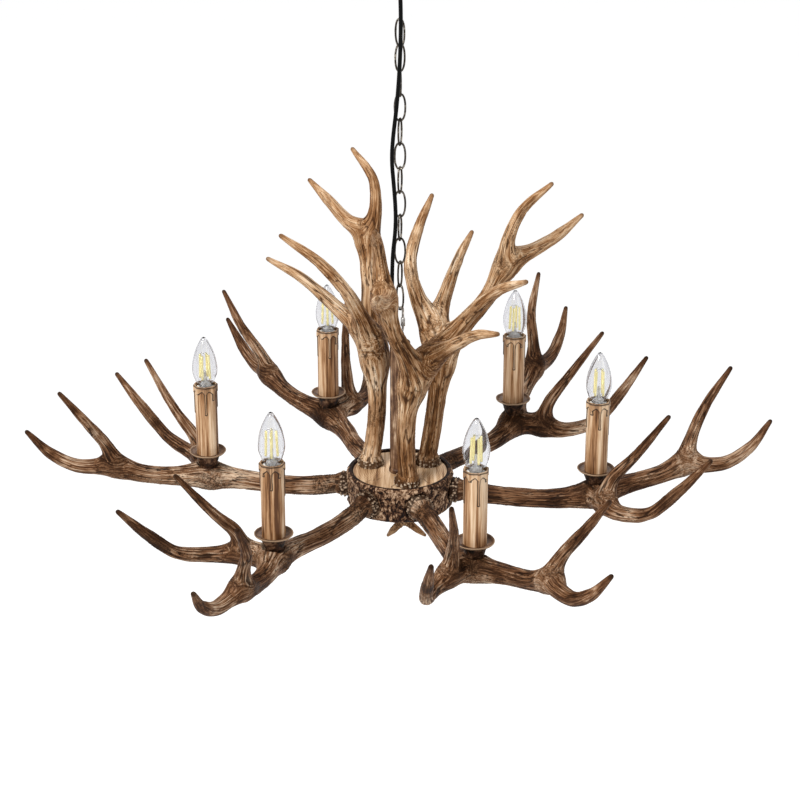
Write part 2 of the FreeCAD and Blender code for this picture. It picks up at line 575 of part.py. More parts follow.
def candle_sleeve(seat):
    """Card tube with a band of moulded wax at its mouth and runs of wax down its side."""
    inner = SLEEVE_RADIUS - SLEEVE_WALL
    band = SLEEVE_RADIUS + DRIP_THICKNESS
    sleeve = turned([(inner, SLEEVE_LOW), (SLEEVE_RADIUS, SLEEVE_LOW),
                     (SLEEVE_RADIUS, SLEEVE_HIGH - DRIP_BAND),
                     (band, SLEEVE_HIGH - DRIP_BAND + 1.5), (band, SLEEVE_HIGH - 1.0),
                     (SLEEVE_RADIUS, SLEEVE_HIGH), (inner, SLEEVE_HIGH)])
    for azimuth, run in DRIP_RUNS:
        foot = polar(band - DRIP_RADIUS, azimuth, SLEEVE_HIGH - run)
        thread = Part.makeCylinder(DRIP_RADIUS, run - DRIP_BAND / 2, foot)
        bead = Part.makeSphere(DRIP_RADIUS, foot)
        sleeve = sleeve.fuse(thread.fuse(bead))
    hollow = cylinder(inner, SLEEVE_LOW - 1, SLEEVE_HIGH + 1)
    return at(sleeve.cut(hollow).removeSplitter(), seat)


def nipple(seat):
    pipe = tube(NIPPLE_RADIUS, NIPPLE_BORE, -NIPPLE_GRIP, HOLDER_LOW - SEAT_PLAY + HOLDER_FOOT_SINK)
    return at(pipe, seat)


def lampholder(seat):
    """Bulb socket on the nipple, with a stepped foot that grips the nipple's top."""
    low = HOLDER_LOW + HOLDER_FOOT_SINK
    foot = tube(HOLDER_FOOT_RADIUS, NIPPLE_RADIUS + THREAD_PLAY, low - HOLDER_FOOT, low)
    body = tube(HOLDER_RADIUS, HOLDER_BORE, low, HOLDER_HIGH)
    floor = tube(HOLDER_RADIUS, NIPPLE_BORE, low, low + HOLDER_FLOOR)
    return at(fused([foot, floor, body]), seat)


def bulb_glass(seat):
    """Candle-shaped envelope, blown thin, on the cap's flange."""
    outer = [(r, SLEEVE_HIGH + z) for r, z in BULB_OUTLINE]
    tip = (0.0, SLEEVE_HIGH + BULB_OUTLINE[-1][1] + GLASS_TIP)
    inner = [(max(r - GLASS_WALL, 0.5), z) for r, z in outer[:-1]]
    outline = outer + [tip, (0.0, tip[1] - 3 * GLASS_WALL)] + inner[::-1]
    return at(turned(outline), seat)


def bulb_base(seat):
    """Screw cap, glass stem and filaments, which are sealed in one piece."""
    foot = SLEEVE_HIGH - BULB_FOOT - SEAT_PLAY
    cap = turned([(0, foot - CAP_LENGTH), (CAP_CONTACT_RADIUS, foot - CAP_LENGTH),
                  (CAP_RADIUS, foot - CAP_LENGTH + CAP_TAPER),
                  (CAP_RADIUS, foot - CAP_FLANGE_HEIGHT), (CAP_FLANGE, foot), (0, foot)])
    stem = cylinder(STEM_RADIUS, foot - 1, foot + STEM_HEIGHT)
    parts = [cap, stem]
    low = foot + STEM_HEIGHT - FILAMENT_KNEE
    high = SLEEVE_HIGH + FILAMENT_TOP
    for i in range(FILAMENT_COUNT):
        azimuth = 45 + 360 / FILAMENT_COUNT * i
        start = polar(STEM_RADIUS - 1.0, azimuth, low - FILAMENT_LEAD)
        knee = polar(FILAMENT_SPREAD, azimuth, low)
        end = polar(FILAMENT_HEAD, azimuth, high)
        for a, b, radius in ((start, knee, FILAMENT_RADIUS * 0.6), (knee, end, FILAMENT_RADIUS)):
            parts.append(Part.makeCylinder(radius, (b - a).Length, a, b - a))
    crown = cylinder(FILAMENT_HEAD + FILAMENT_RADIUS * 0.5, high - 0.8, high + 0.4)
    return at(fused(parts + [crown]), seat)


# --- supply cord ------------------------------------------------------------------------
def cord_path():
    """Straight runs joined by tangent arcs, each arc as large as its two runs allow."""
    points = [Vector(*p) for p in CORD_ROUTE]
    edges, last = [], points[0]
    for a, b, c in zip(points, points[1:], points[2:]):
        back, ahead = (a - b).normalize(), (c - b).normalize()
        turn = math.pi - back.getAngle(ahead)
        setback = 0.45 * min((a - b).Length, (c - b).Length)
        radius = setback / math.tan(turn / 2)
        print("cord bend radius %.0f" % radius)
        first, second = b + back * setback, b + ahead * setback
        middle = (back + ahead).normalize()
        bulge = b + middle * (math.hypot(radius, setback) - radius)
        edges.append(Part.LineSegment(last, first).toShape())
        edges.append(Part.Arc(first, bulge, second).toShape())
        last = second
    edges.append(Part.LineSegment(last, points[-1]).toShape())
    return Part.Wire(edges)


def supply_cord():
    path = cord_path()
    start, ahead = Vector(*CORD_ROUTE[0]), Vector(*CORD_ROUTE[1]) - Vector(*CORD_ROUTE[0])
    section = Part.Wire(Part.makeCircle(CORD_DIAMETER / 2, start, ahead))
    cord = path.makePipeShell([section], True, False)
    expected = math.pi * CORD_DIAMETER ** 2 / 4 * path.Length
    print("cord length %.1f volume %.0f expected %.0f" % (path.Length, cord.Volume, expected))
    return cord


# --- the whole fixture ------------------------------------------------------------------
def build():
    nodes = {
        "ceiling_bracket": ceiling_bracket(),
        "canopy": canopy(),
        "canopy_screws": canopy_screws(),
        "canopy_loop": canopy_loop(),
        "chain_top_link": chain_link(CHAIN_TOP, LINK_TURNS[-1]),
        "chain_links": chain_links(),
        "supply_cord": supply_cord(),
        "quick_link": quick_link(),
        "quick_link_nut": quick_link_nut(),
        "column": column(),
        "column_eye": column_eye(),
        "hub_ring": hub_ring(),
        "hub_top_disc": hub_top_disc(),
        "hub_bottom_disc": hub_bottom_disc(),
        "antler_screws": antler_screws(),
        "terminal_block": terminal_block(),
        "finial": finial(),
    }
    for n, place in enumerate(UPRIGHT_SEATS, 1):
        nodes["upright_antler_%d" % n] = upright_antler(*place)
    seats = []
    for n, (azimuth, roll, droop) in enumerate(ARM_SEATS, 1):
        nodes["arm_antler_%d" % n] = seated_arm(azimuth, roll, droop)
        seats.append(candle_seat(azimuth, droop))
    for n, seat in enumerate(seats, 1):
        nodes["candle_cup_%d" % n] = candle_cup(seat)
        nodes["drip_pan_%d" % n] = drip_pan(seat)
        nodes["candle_sleeve_%d" % n] = candle_sleeve(seat)
        nodes["bulb_glass_%d" % n] = bulb_glass(seat)
        nodes["bulb_base_%d" % n] = bulb_base(seat)
    nodes["candle_nipples"] = Part.makeCompound([nipple(seat) for seat in seats])
    nodes["lampholders"] = Part.makeCompound([lampholder(seat) for seat in seats])
    return nodes


os.makedirs("parts", exist_ok=True)
for name, shape in build().items():
    shape.exportStep("parts/%s.step" % name)
    print(name, "solids %d" % len(shape.Solids), "valid", shape.isValid(), "volume %.0f" % shape.Volume)
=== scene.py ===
import math

import bpy
import numpy as np
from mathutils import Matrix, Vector


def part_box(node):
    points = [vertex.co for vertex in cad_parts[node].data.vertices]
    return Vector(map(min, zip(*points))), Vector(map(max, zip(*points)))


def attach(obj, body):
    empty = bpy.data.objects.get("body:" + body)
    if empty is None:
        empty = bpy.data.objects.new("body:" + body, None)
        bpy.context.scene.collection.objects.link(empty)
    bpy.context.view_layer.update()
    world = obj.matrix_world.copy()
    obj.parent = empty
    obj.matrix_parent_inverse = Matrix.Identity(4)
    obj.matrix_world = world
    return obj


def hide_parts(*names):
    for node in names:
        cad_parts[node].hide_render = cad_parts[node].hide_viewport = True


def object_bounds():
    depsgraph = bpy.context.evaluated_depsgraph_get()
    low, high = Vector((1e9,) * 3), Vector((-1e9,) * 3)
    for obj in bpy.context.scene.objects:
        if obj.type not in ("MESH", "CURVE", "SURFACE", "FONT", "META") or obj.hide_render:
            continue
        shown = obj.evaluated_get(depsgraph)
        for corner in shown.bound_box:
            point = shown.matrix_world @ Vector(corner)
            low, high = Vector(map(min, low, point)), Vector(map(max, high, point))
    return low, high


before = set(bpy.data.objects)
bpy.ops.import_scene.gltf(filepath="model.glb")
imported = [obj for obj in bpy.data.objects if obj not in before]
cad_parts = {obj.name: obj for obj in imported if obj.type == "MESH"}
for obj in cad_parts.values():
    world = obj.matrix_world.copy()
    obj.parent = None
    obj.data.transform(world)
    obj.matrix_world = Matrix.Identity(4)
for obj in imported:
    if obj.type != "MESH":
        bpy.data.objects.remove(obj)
cad_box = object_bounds()

# Millimetres here become metres where a mesh is made.
MM = 0.001


# --- places read from the frame -----------------------------------------------------------
def low_of(node):
    return np.array(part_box(node)[0]) / MM


def high_of(node):
    return np.array(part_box(node)[1]) / MM


HUB_TOP = high_of("hub_ring")[2]
HUB_LOW = low_of("hub_ring")[2]
DISC_TOP = high_of("hub_top_disc")[2]
DISC_LOW = low_of("hub_bottom_disc")[2]
DISC_RADIUS = high_of("hub_top_disc")[0]
COLUMN_TOP = high_of("column")[2]
COLUMN_RADIUS = high_of("column")[0]
CANOPY_LOW = low_of("canopy")[2]


def candle_middle(n):
    """The middle of a candle cup's underside."""
    low, high = low_of("candle_cup_%d" % n), high_of("candle_cup_%d" % n)
    return np.array([(low[0] + high[0]) / 2, (low[1] + high[1]) / 2, low[2]])


# --- sizes that the castings and the wires share with the solids --------------------------
HUB_RADIUS = 73.0
HUB_WALL = 7.0
ARM_BOLT_DROP = 27.0
ARM_BOLT_Z = HUB_TOP - ARM_BOLT_DROP
ARM_SEAT_DEPTH = 2.5
SEAT_PLAY = 0.05

BURR = [(0.0, 15.6), (5.0, 17.0), (10.0, 15.9), (15.0, 13.4)]
ARM_MAIN = [
    (54, 1, -5, 13.2), (101, -2, -7, 13.0), (151, -6, -4, 13.8), (201, 0, 3, 16.5),
    (245, 24, 10, 13.5), (286, 39, 19, 12.0), (322, 50, 33, 13.0), (347, 51, 31, 10.0),
    (378, 56, 35, 8.8), (409, 64, 56, 6.6), (433, 75, 88, 2.4),
]
ARM_LONG_UP = [(318, 48, 31, 9.0), (327, 60, 66, 8.6), (346, 82, 108, 6.8), (377, 97, 156, 2.3)]
ARM_SHORT = [
    (198, 2, 2, 13.0), (212, -34, 7, 13.0), (237, -70, 3, 10.8), (278, -97, 15, 8.6),
    (316, -110, 53, 7.0), (355, -121, 99, 2.4),
]
ARM_SHORT_UP = [(214, -42, 6, 9.5), (227, -42, 42, 8.6), (259, -53, 82, 6.8), (299, -73, 141, 2.3)]
ARM_SEATS = [(173.4, 0.0, 0.0), (233.0, -2.0, 2.2), (290.6, 0.0, 0.0),
             (-9.0, -3.5, -1.7), (51.8, 6.5, -1.2), (113.3, -1.0, 0.0)]

UPRIGHT_MAIN = [
    (3, -6, 58, 12.8), (7, -7, 110, 12.6), (13, -2, 158, 14.5), (36, -6, 203, 12.6),
    (67, -18, 252, 11.4), (92, -24, 302, 11.6), (129, -13, 315, 8.6), (166, -5, 331, 6.8),
    (202, 8, 352, 2.4),
]
UPRIGHT_LONG_UP = [(90, -24, 300, 9.4), (87, -33, 340, 8.6), (104, -35, 382, 6.8), (144, -25, 411, 2.3)]
UPRIGHT_SHORT = [
    (12, -3, 152, 12.4), (4, 12, 190, 12.6), (-14, 41, 236, 10.2), (-18, 68, 276, 8.8),
    (1, 100, 313, 6.8), (29, 140, 343, 2.4),
]
UPRIGHT_SHORT_UP = [(4, 12, 190, 10.0), (30, 53, 232, 9.2), (58, 91, 268, 6.8), (86, 128, 290, 2.3)]
UPRIGHT_INSET = 20.5       # from the hub's inner wall to the middle of an upright's foot
UPRIGHT_CIRCLE = HUB_RADIUS - HUB_WALL - UPRIGHT_INSET
UPRIGHT_SEATS = [(153.6, 120.0, -3.0, 2.5), (282.0, 248.5, 1.6, -6.0), (32.2, 14.5, 1.3, 3.2)]

FINIAL_STEM = [(2, 0, 15.0), (3, 14, 12.0), (5, 28, 8.5), (-1, 38, 5.6), (-9, 47, 4.3), (-16, 55, 1.6)]
FINIAL_FORK = [(5, 27, 7.5), (13, 37, 5.8), (23, 46, 4.6), (34, 55, 1.6)]

LINK_PITCH = 32.4
LINK_WIRE = 2.2
LINK_WIRE_MORE = 0.5       # the drawn wire is this much thicker than the solid's
LINK_WIDTH = 16.0
LINK_PLAY = 0.3
LINK_TURNS = [130, 68, 172, 74, 178, 70, 183, 72, 185, 100, 210, 145, 88]
CHAIN_TOP = high_of("chain_top_link")[2] - LINK_WIRE - LINK_PLAY / 2

SCREW_LINK_INNER = 33.0
SCREW_LINK_WIRE = 3.2
SCREW_LINK_WIDTH = 13.5
SCREW_LINK_TURN = 40.0

LOOP_INNER_RADIUS = 9.0
LOOP_WIRE = 4.0
EYE_INNER_RADIUS = 5.5
EYE_WIRE = 3.4
EYE_TURN = 130.0

SLEEVE_RADIUS = 15.3
SLEEVE_WALL = 1.6
WAX_EDGE = 6.5             # how far the wax reaches down between two drips
WAX_ARCH = 11.5            # and beside a drip

GLASS_WALL = 0.7
CANOPY_WALL = 1.5
CORD_HOLE_RADIUS = 7.4
BUSH_RADIUS = 8.2

CORD_DIAMETER = 5.4
CORD_ROUTE = [
    (0, -27, -29), (0, -27, -48), (1, -21, -78), (1, -16, -109), (0, -14, -143), (-2, -13, -177),
    (-5, -13, -211), (-9, -12, -243), (-11, -11, -275), (-8, -12.5, -309), (-5.5, -13.5, -343),
    (-6, -13, -371), (-9.5, -12, -401), (-10.5, -10.5, -432), (-10.5, -8, -462), (-11, -6, -487),
    (-10, -3.5, -507), (-7.4, -0.6, -523), (-7, 0, -536),
]


# --- numbers ------------------------------------------------------------------------------
def hashed(cell, seed):
    """A number from 0 to 1 for each whole-numbered cell, scattered by its index and the seed."""
    code = (cell[:, 0] * 374761393 + cell[:, 1] * 668265263 + cell[:, 2] * 1442695041
            + seed * 97911) & 0xFFFFFFFF
    code = ((code ^ (code >> 13)) * 1274126177) & 0xFFFFFFFF
    return (code ^ (code >> 16)) / 0xFFFFFFFF


def noise(spots, seed=0):
    """Smooth lattice noise from 0 to 1: hashed values at a cell's corners, blended by the
    smoothstep of the place within the cell."""
    cell = np.floor(spots).astype(np.int64)
    part = spots - cell
    part = part * part * (3 - 2 * part)
    total = np.zeros(len(spots))
    for corner in np.ndindex(2, 2, 2):
        total += np.prod(np.where(corner, part, 1 - part), axis=1) * hashed(cell + corner, seed)
    return total


def beads(spots, cell, seed):
    """Packed beads, one to each cell: 1 at a bead's middle, which lies at a hashed place in its
    cell, and less by the square of the distance from it, to 0 at half a cell."""
    grid = spots / cell
    home = np.floor(grid).astype(np.int64)
    nearest = np.full(len(spots), 9.0)
    for corner in np.ndindex(3, 3, 3):
        spot = home + corner - 1
        middle = spot + 0.2 + 0.6 * np.stack([hashed(spot, seed + k) for k in range(3)], 1)
        nearest = np.minimum(nearest, np.sum((grid - middle) ** 2, axis=1))
    return np.clip(1 - nearest / 0.25, 0, 1)


def waver(along, first, second, seed):
    """Noise along one measure, different for each pair of numbers."""
    return noise(np.column_stack([along, 0 * along + first, 0 * along + second]), seed)


def rough_noise(spots, seed=0, octaves=3):
    """Lattice noise at halving scales and halving strengths, brought back to 0 to 1."""
    total, share = np.zeros(len(spots)), 0.0
    for k in range(octaves):
        total += noise(spots * 2 ** k, seed + 17 * k) / 2 ** k
        share += 1 / 2 ** k
    return total / share


def step(value, low, high):
    """0 below low, 1 above high, and a smooth rise between."""
    t = np.clip((value - low) / (high - low), 0, 1)
    return t * t * (3 - 2 * t)


def circle(count):
    """Angles of count points evenly round a circle."""
    return np.arange(count) / count * 2 * math.pi


def turned_by(axis, degrees):
    a = math.radians(degrees)
    c, s = math.cos(a), math.sin(a)
    return np.array({"x": [[1, 0, 0], [0, c, -s], [0, s, c]],
                     "y": [[c, 0, s], [0, 1, 0], [-s, 0, c]],
                     "z": [[c, -s, 0], [s, c, 0], [0, 0, 1]]}[axis])


def smooth_run(points, gap):
    """Points about gap apart on the curve whose tangent at each given point is half the step
    between its neighbours, cubic between them. Every column is carried along alike."""
    points = np.array(points, float)
    ends = np.vstack([2 * points[0] - points[1], points, 2 * points[-1] - points[-2]])
    rows = []
    for a, b, c, d in zip(ends, ends[1:], ends[2:], ends[3:]):
        count = max(2, int(round(np.linalg.norm((c - b)[:3]) / gap)))
        t = (np.arange(count) / count)[:, None]
        rows.append(b + 0.5 * t * (c - a + t * (2 * a - 5 * b + 4 * c - d + t * (3 * (b - c) + d - a))))
    return np.vstack(rows + [points[-1:]])


def directions(path, closed=False):
    """Unit tangents, and two square unit vectors carried along the path without twist."""
    if closed:
        along = np.roll(path, -1, 0) - np.roll(path, 1, 0)
    else:
        along = np.gradient(path, axis=0)
    along = along / np.linalg.norm(along, axis=1)[:, None]
    first = np.cross(along[0], [0.0, 0.0, 1.0] if abs(along[0][2]) < 0.9 else [0.0, 1.0, 0.0])
    across = [first / np.linalg.norm(first)]
    for a in along[1:]:
        v = across[-1] - a * (across[-1] @ a)
        across.append(v / np.linalg.norm(v))
    across = np.array(across)
    return along, across, np.cross(along, across)


# --- meshes -------------------------------------------------------------------------------
def grid_faces(rows, columns, close_rows=False, close_columns=True):
    """Quads of a grid whose points run along the columns first."""
    i, j = np.meshgrid(np.arange(rows if close_rows else rows - 1),
                       np.arange(columns if close_columns else columns - 1), indexing="ij")
    i, j = i.ravel(), j.ravel()
    k, m = (i + 1) % rows, (j + 1) % columns
    return np.stack([i * columns + j, i * columns + m, k * columns + m, k * columns + j], 1)


def mesh_from(name, points, faces, values=None):
    """A smooth-shaded mesh in metres, with per-point values kept as attributes."""
    mesh = bpy.data.meshes.new(name)
    mesh.from_pydata((np.asarray(points) * MM).tolist(), [], [list(map(int, f)) for f in faces])
    mesh.update()
    mesh.polygons.foreach_set("use_smooth", np.ones(len(mesh.polygons), bool))
    for key, value in (values or {}).items():
        vector = value.ndim == 2
        attribute = mesh.attributes.new(key, "FLOAT_VECTOR" if vector else "FLOAT", "POINT")
        attribute.data.foreach_set("vector" if vector else "value", value.astype(np.float32).ravel())
    return mesh


def placed(name, data):
    thing = bpy.data.objects.new(name, data)
    bpy.context.scene.collection.objects.link(thing)
    return thing


def piece(name, form, material, body, slot, *nodes, values=None):
    """Puts a form (points, faces) into the scene, riding on its body in place of its CAD nodes."""
    mesh = mesh_from(name, *form, values)
    mesh.materials.append(material)
    thing = placed(name, mesh)
    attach(thing, body)
    if nodes:
        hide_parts(*nodes)


def tube_grid(path, radii, sides, closed=False):
    """Points of a round tube: a circle of the given radius square to the path at each station."""
    path = np.asarray(path, float)
    _, across, up = directions(path, closed)
    turn = circle(sides)
    ring = across[:, None] * np.cos(turn)[None, :, None] + up[:, None] * np.sin(turn)[None, :, None]
    return (path[:, None] + ring * np.broadcast_to(radii, len(path))[:, None, None]).reshape(-1, 3)


def capped_tube(path, radii, sides):
    """A round tube with a closing point at each end."""
    path, radii = np.asarray(path, float), np.broadcast_to(radii, len(path))
    points = tube_grid(path, radii, sides)
    faces = [tuple(f) for f in grid_faces(len(path), sides)]
    start, end = len(points), len(points) + 1
    last = (len(path) - 1) * sides
    faces += [(start, (j + 1) % sides, j) for j in range(sides)]
    faces += [(end, last + j, last + (j + 1) % sides) for j in range(sides)]
    return np.vstack([points, path[:1], path[-1:]]), faces


def turned_grid(outline, sides, centre=(0, 0, 0), closed=False):
    """Points of a turned form: the outline (radius, height) carried round the vertical axis."""
    outline = np.asarray(outline, float)
    turn = circle(sides)
    x = outline[:, :1] * np.cos(turn)[None] + centre[0]
    y = outline[:, :1] * np.sin(turn)[None] + centre[1]
    z = np.repeat(outline[:, 1:2], sides, 1) + centre[2]
    return np.stack([x, y, z], 2).reshape(-1, 3), grid_faces(len(outline), sides, closed)


def rounded(outline, bend=1.0, closed=True, count=4):
    """The outline with each corner cut back by bend and bridged by a parabola."""
    outline = [np.array(p, float) for p in outline]
    total = len(outline)
    rows = []
    for i, p in enumerate(outline):
        if not closed and i in (0, total - 1):
            rows.append(p)
            continue
        before, after = outline[i - 1] - p, outline[(i + 1) % total] - p
        cut = min(bend, 0.45 * np.linalg.norm(before), 0.45 * np.linalg.norm(after))
        a, b = p + before / np.linalg.norm(before) * cut, p + after / np.linalg.norm(after) * cut
        for t in np.linspace(0, 1, count):
            rows.append((1 - t) ** 2 * a + 2 * t * (1 - t) * p + t * t * b)
    return np.array(rows)


def inset(outline, wall):
    """The outline moved by wall to the left of the way its points run."""
    slope = np.gradient(outline, axis=0)
    normal = np.column_stack([slope[:, 1], -slope[:, 0]]) / np.linalg.norm(slope, axis=1)[:, None]
    return outline - normal * wall


def spaced(outline, gap, closed=False):
    """The same outline with extra points, so that none are more than gap apart."""
    rows = []
    pairs = zip(outline, np.roll(outline, -1, 0)) if closed else zip(outline, outline[1:])
    for a, b in pairs:
        count = max(1, int(np.ceil(np.linalg.norm(b - a) / gap)))
        rows += [a + (b - a) * k / count for k in range(count)]
    return np.array(rows if closed else rows + [outline[-1]])


# --- finishes -----------------------------------------------------------------------------
class Value:
    """A socket that gives a number or a vector, so that shader maths reads as Python."""

    def __init__(self, finish, socket):
        self.finish, self.socket = finish, socket

    def __add__(self, other):
        return self.finish.maths("ADD", self, other)

    def __sub__(self, other):
        return self.finish.maths("SUBTRACT", self, other)

    def __rsub__(self, other):
        return self.finish.maths("SUBTRACT", other, self)

    def __mul__(self, other):
        return self.finish.maths("MULTIPLY", self, other)


class Finish:
    """A material under construction, ended by coat()."""

    def __init__(self, name):
        self.material = bpy.data.materials.new(name)
        self.material.use_nodes = True
        self.tree = self.material.node_tree
        self.tree.nodes.clear()

    def node(self, kind, settings=None, inputs=None, output=0):
        node = self.tree.nodes.new(kind)
        for key, value in (settings or {}).items():
            if key == "stops":
                ramp = node.color_ramp.elements
                while len(ramp) < len(value):
                    ramp.new(0.5)
                for stop, (place, colour) in zip(ramp, value):
                    stop.position = place
                    stop.color = (*colour, 1.0)
            else:
                setattr(node, key, value)
        for key, value in (inputs or {}).items():
            if isinstance(value, Value):
                self.tree.links.new(value.socket, node.inputs[key])
            else:
                node.inputs[key].default_value = value
        return Value(self, node.outputs[output])

    def maths(self, operation, *values):
        return self.node("ShaderNodeMath", {"operation": operation}, dict(enumerate(values)))

    def clamp(self, value, low, high):
        """0 at low and 1 at high, straight between and level outside."""
        return self.node("ShaderNodeMapRange", {"clamp": True}, {0: value, 1: low, 2: high})

    def stretched(self, vector, scale):
        return self.node("ShaderNodeVectorMath", {"operation": "MULTIPLY"}, {0: vector, 1: scale})

    def places(self):
        return self.node("ShaderNodeTexCoord", output=3)

    def stored(self, name, vector=False):
        return self.node("ShaderNodeAttribute", {"attribute_name": name}, output=1 if vector else 2)

    def noise(self, vector, scale=1.0, detail=3.0, roughness=0.55, distortion=0.0):
        return self.node("ShaderNodeTexNoise", None, {"Vector": vector, "Scale": scale, "Detail": detail,
                                                      "Roughness": roughness, "Distortion": distortion})

    def ramp(self, value, stops):
        return self.node("ShaderNodeValToRGB", {"stops": stops}, {0: value})

    def mix(self, share, first, second):
        first, second = [c if isinstance(c, Value) else (*c, 1.0) for c in (first, second)]
        return self.node("ShaderNodeMix", {"data_type": "RGBA"}, {0: share, 6: first, 7: second}, 2)

    def bump(self, height, distance, strength=1.0):
        return self.node("ShaderNodeBump", None,
                         {"Height": height, "Distance": distance, "Strength": strength})

    def coat(self, **sockets):
        names = {"colour": "Base Color", "normal": "Normal", "roughness": "Roughness", "metallic": "Metallic",
                 "coat": "Coat Weight", "coat_roughness": "Coat Roughness", "specular": "Specular IOR Level",
                 "ior": "IOR", "transmission": "Transmission Weight", "alpha": "Alpha",
                 "glow": "Emission Color", "glow_strength": "Emission Strength"}
        inputs = {names[k]: (*v, 1.0) if isinstance(v, tuple) else v for k, v in sockets.items()}
        shader = self.node("ShaderNodeBsdfPrincipled", None, inputs)
        end = self.tree.nodes.new("ShaderNodeOutputMaterial")
        self.tree.links.new(shader.socket, end.inputs[0])
        return self.material


def antler_finish(name, deep, brown, tan, pale, streak, patch, tip, pearl_shade):
    """Cast resin antler: fine streaks along each limb with thin dark creases between them, dark
    in the grooves and round the pearls, with painted shade in blotches over the pearled forks and base,
    and a painted highlight, pale and glossier, on the crowns of the burr's knobs, smoother and browner at the
    tips."""
    f = Finish(name)
    grain = f.stored("grain", vector=True)
    groove, pearl, tine, knob = [f.stored(key) for key in ("groove", "pearl", "tine", "knob")]
    streaks = f.noise(f.stretched(grain, (0.011, 0.46, 0.46)), 1.0, 4.0, 0.62, 0.25) - 0.5
    hairs = f.noise(f.stretched(grain, (0.05, 1.3, 1.3)), 1.0, 3.0, 0.6)
    patches = f.noise(f.places(), 14.0, 3.0, 0.6, 0.4)
    plain = 1.0 - pearl * 0.75
    tone = (streaks * (streak - tine * 0.20) * plain + (hairs - 0.5) * 0.26 * plain
            + (patches - 0.5) * patch + 0.522)
    colour = f.ramp(tone, [(0.40, deep), (0.485, brown), (0.55, tan), (0.65, pale)])
    creases = f.noise(f.stretched(grain, (0.010, 0.22, 0.22)), 1.0, 2.0, 0.5, 0.25)
    crease = f.clamp(f.maths("ABSOLUTE", creases - 0.5), 0.020, 0.005) * (0.9 - tine * 0.5) * plain
    colour = f.mix(crease, colour, deep)
    colour = f.mix(f.clamp(groove, 0.15, 0.8) * 0.85, colour, deep)
    speck = f.clamp(f.noise(f.places(), 420.0, 2.0, 0.7), 0.44, 0.56)
    # painted shade: deep blotches over the pearled zones (forks, base and scattered patches), as strong as
    # pearl_shade
    colour = f.mix(pearl * f.clamp(patches, 0.60, 0.40) * pearl_shade, colour, deep)
    colour = f.mix(pearl * f.clamp(speck, 1.0, 0.0) * 0.85, colour, deep)
    # painted highlight: the crowns of the burr's knobs turned pale, standing for glints
    colour = f.mix(knob * 0.8, colour, pale)
    colour = f.mix(f.clamp(tine, 0.78, 1.0) * tip, colour, brown)
    colour = f.mix(f.clamp(tine, 0.94, 1.0) * (tip + 0.2), colour, deep)
    relief = (streaks * 0.35 + hairs * 0.35 + f.noise(f.places(), 900.0, 2.0) * 0.12 + pearl * speck * 0.4
              - crease * 0.3)
    rough = hairs * 0.25 + 0.42 - knob * 0.22
    return f.coat(colour=colour, roughness=rough, normal=f.bump(relief, 0.0012, 0.8), specular=0.06)


def bark_finish():
    """Cast bark: tan plates with dark brown pits and seams, blotched."""
    f = Finish("hub_bark")
    relief = f.stored("relief")
    blotch = f.noise(f.places(), 75.0, 4.0, 0.62, 1.0)
    crumbs = f.noise(f.places(), 420.0, 4.0, 0.75)
    tone = relief * 0.42 + blotch * 0.80 + crumbs * 0.75 - 0.475
    colour = f.ramp(tone, [(0.39, (0.006, 0.002, 0.001)), (0.49, (0.042, 0.016, 0.007)),
                           (0.58, (0.180, 0.094, 0.048)), (0.69, (0.46, 0.31, 0.20))])
    return f.coat(colour=colour, roughness=crumbs * 0.3 + 0.5, specular=0.12,
                  normal=f.bump(crumbs, 0.0016, 0.9))


def sawn_finish():
    """Pale sawn face: straight saw lines across it over faint growth rings, brown in its cracks, with painted
    shade in a dark ring along its rim where it meets the wall.
    """
    f = Finish("sawn_face")
    crack = f.stored("crack")
    rings = f.stored("rings")
    lines = f.noise(f.stretched(f.places(), (230.0, 12.0, 60.0)), 1.0, 4.0, 0.65, 0.2)
    broad = f.noise(f.stretched(f.places(), (70.0, 7.0, 20.0)), 1.0, 2.0, 0.5)
    tone = lines * 0.62 + broad * 0.50 + rings * 0.06 - 0.08
    colour = f.ramp(tone, [(0.36, (0.10, 0.042, 0.016)), (0.44, (0.28, 0.155, 0.072)),
                           (0.52, (0.48, 0.31, 0.175)), (0.66, (0.66, 0.49, 0.33))])
    # near black in the cracks, and painted shade in the ring along the rim
    colour = f.mix(f.clamp(crack, 0.1, 0.8) * 0.9, colour, (0.020, 0.009, 0.005))
    return f.coat(colour=colour, roughness=lines * 0.2 + 0.5, normal=f.bump(lines, 0.0005, 0.6), specular=0.2)


def column_finish():
    f = Finish("column_glaze")
    streaks = f.noise(f.stretched(f.places(), (230.0, 230.0, 16.0)), 1.0, 4.0, 0.65, 0.5)
    cloud = f.noise(f.places(), 60.0, 3.0, 0.6)
    colour = f.ramp(streaks * 0.7 + cloud * 0.3,
                    [(0.38, (0.010, 0.004, 0.002)), (0.49, (0.075, 0.032, 0.014)),
                     (0.57, (0.20, 0.11, 0.058)), (0.66, (0.50, 0.36, 0.24))])
    return f.coat(colour=colour, roughness=cloud * 0.25 + 0.42, specular=0.25,
                  normal=f.bump(streaks, 0.0007, 0.7))


def cup_finish():
    f = Finish("cup_resin")
    lumps = f.noise(f.places(), 150.0, 4.0, 0.65)
    cloud = f.noise(f.places(), 50.0, 3.0, 0.6, 0.6)
    colour = f.ramp(lumps * 0.55 + cloud * 0.45,
                    [(0.42, (0.007, 0.003, 0.001)), (0.52, (0.054, 0.022, 0.010)),
                     (0.63, (0.22, 0.120, 0.065))])
    return f.coat(colour=colour, roughness=lumps * 0.3 + 0.45, specular=0.12,
                  normal=f.bump(lumps, 0.0012, 0.7))


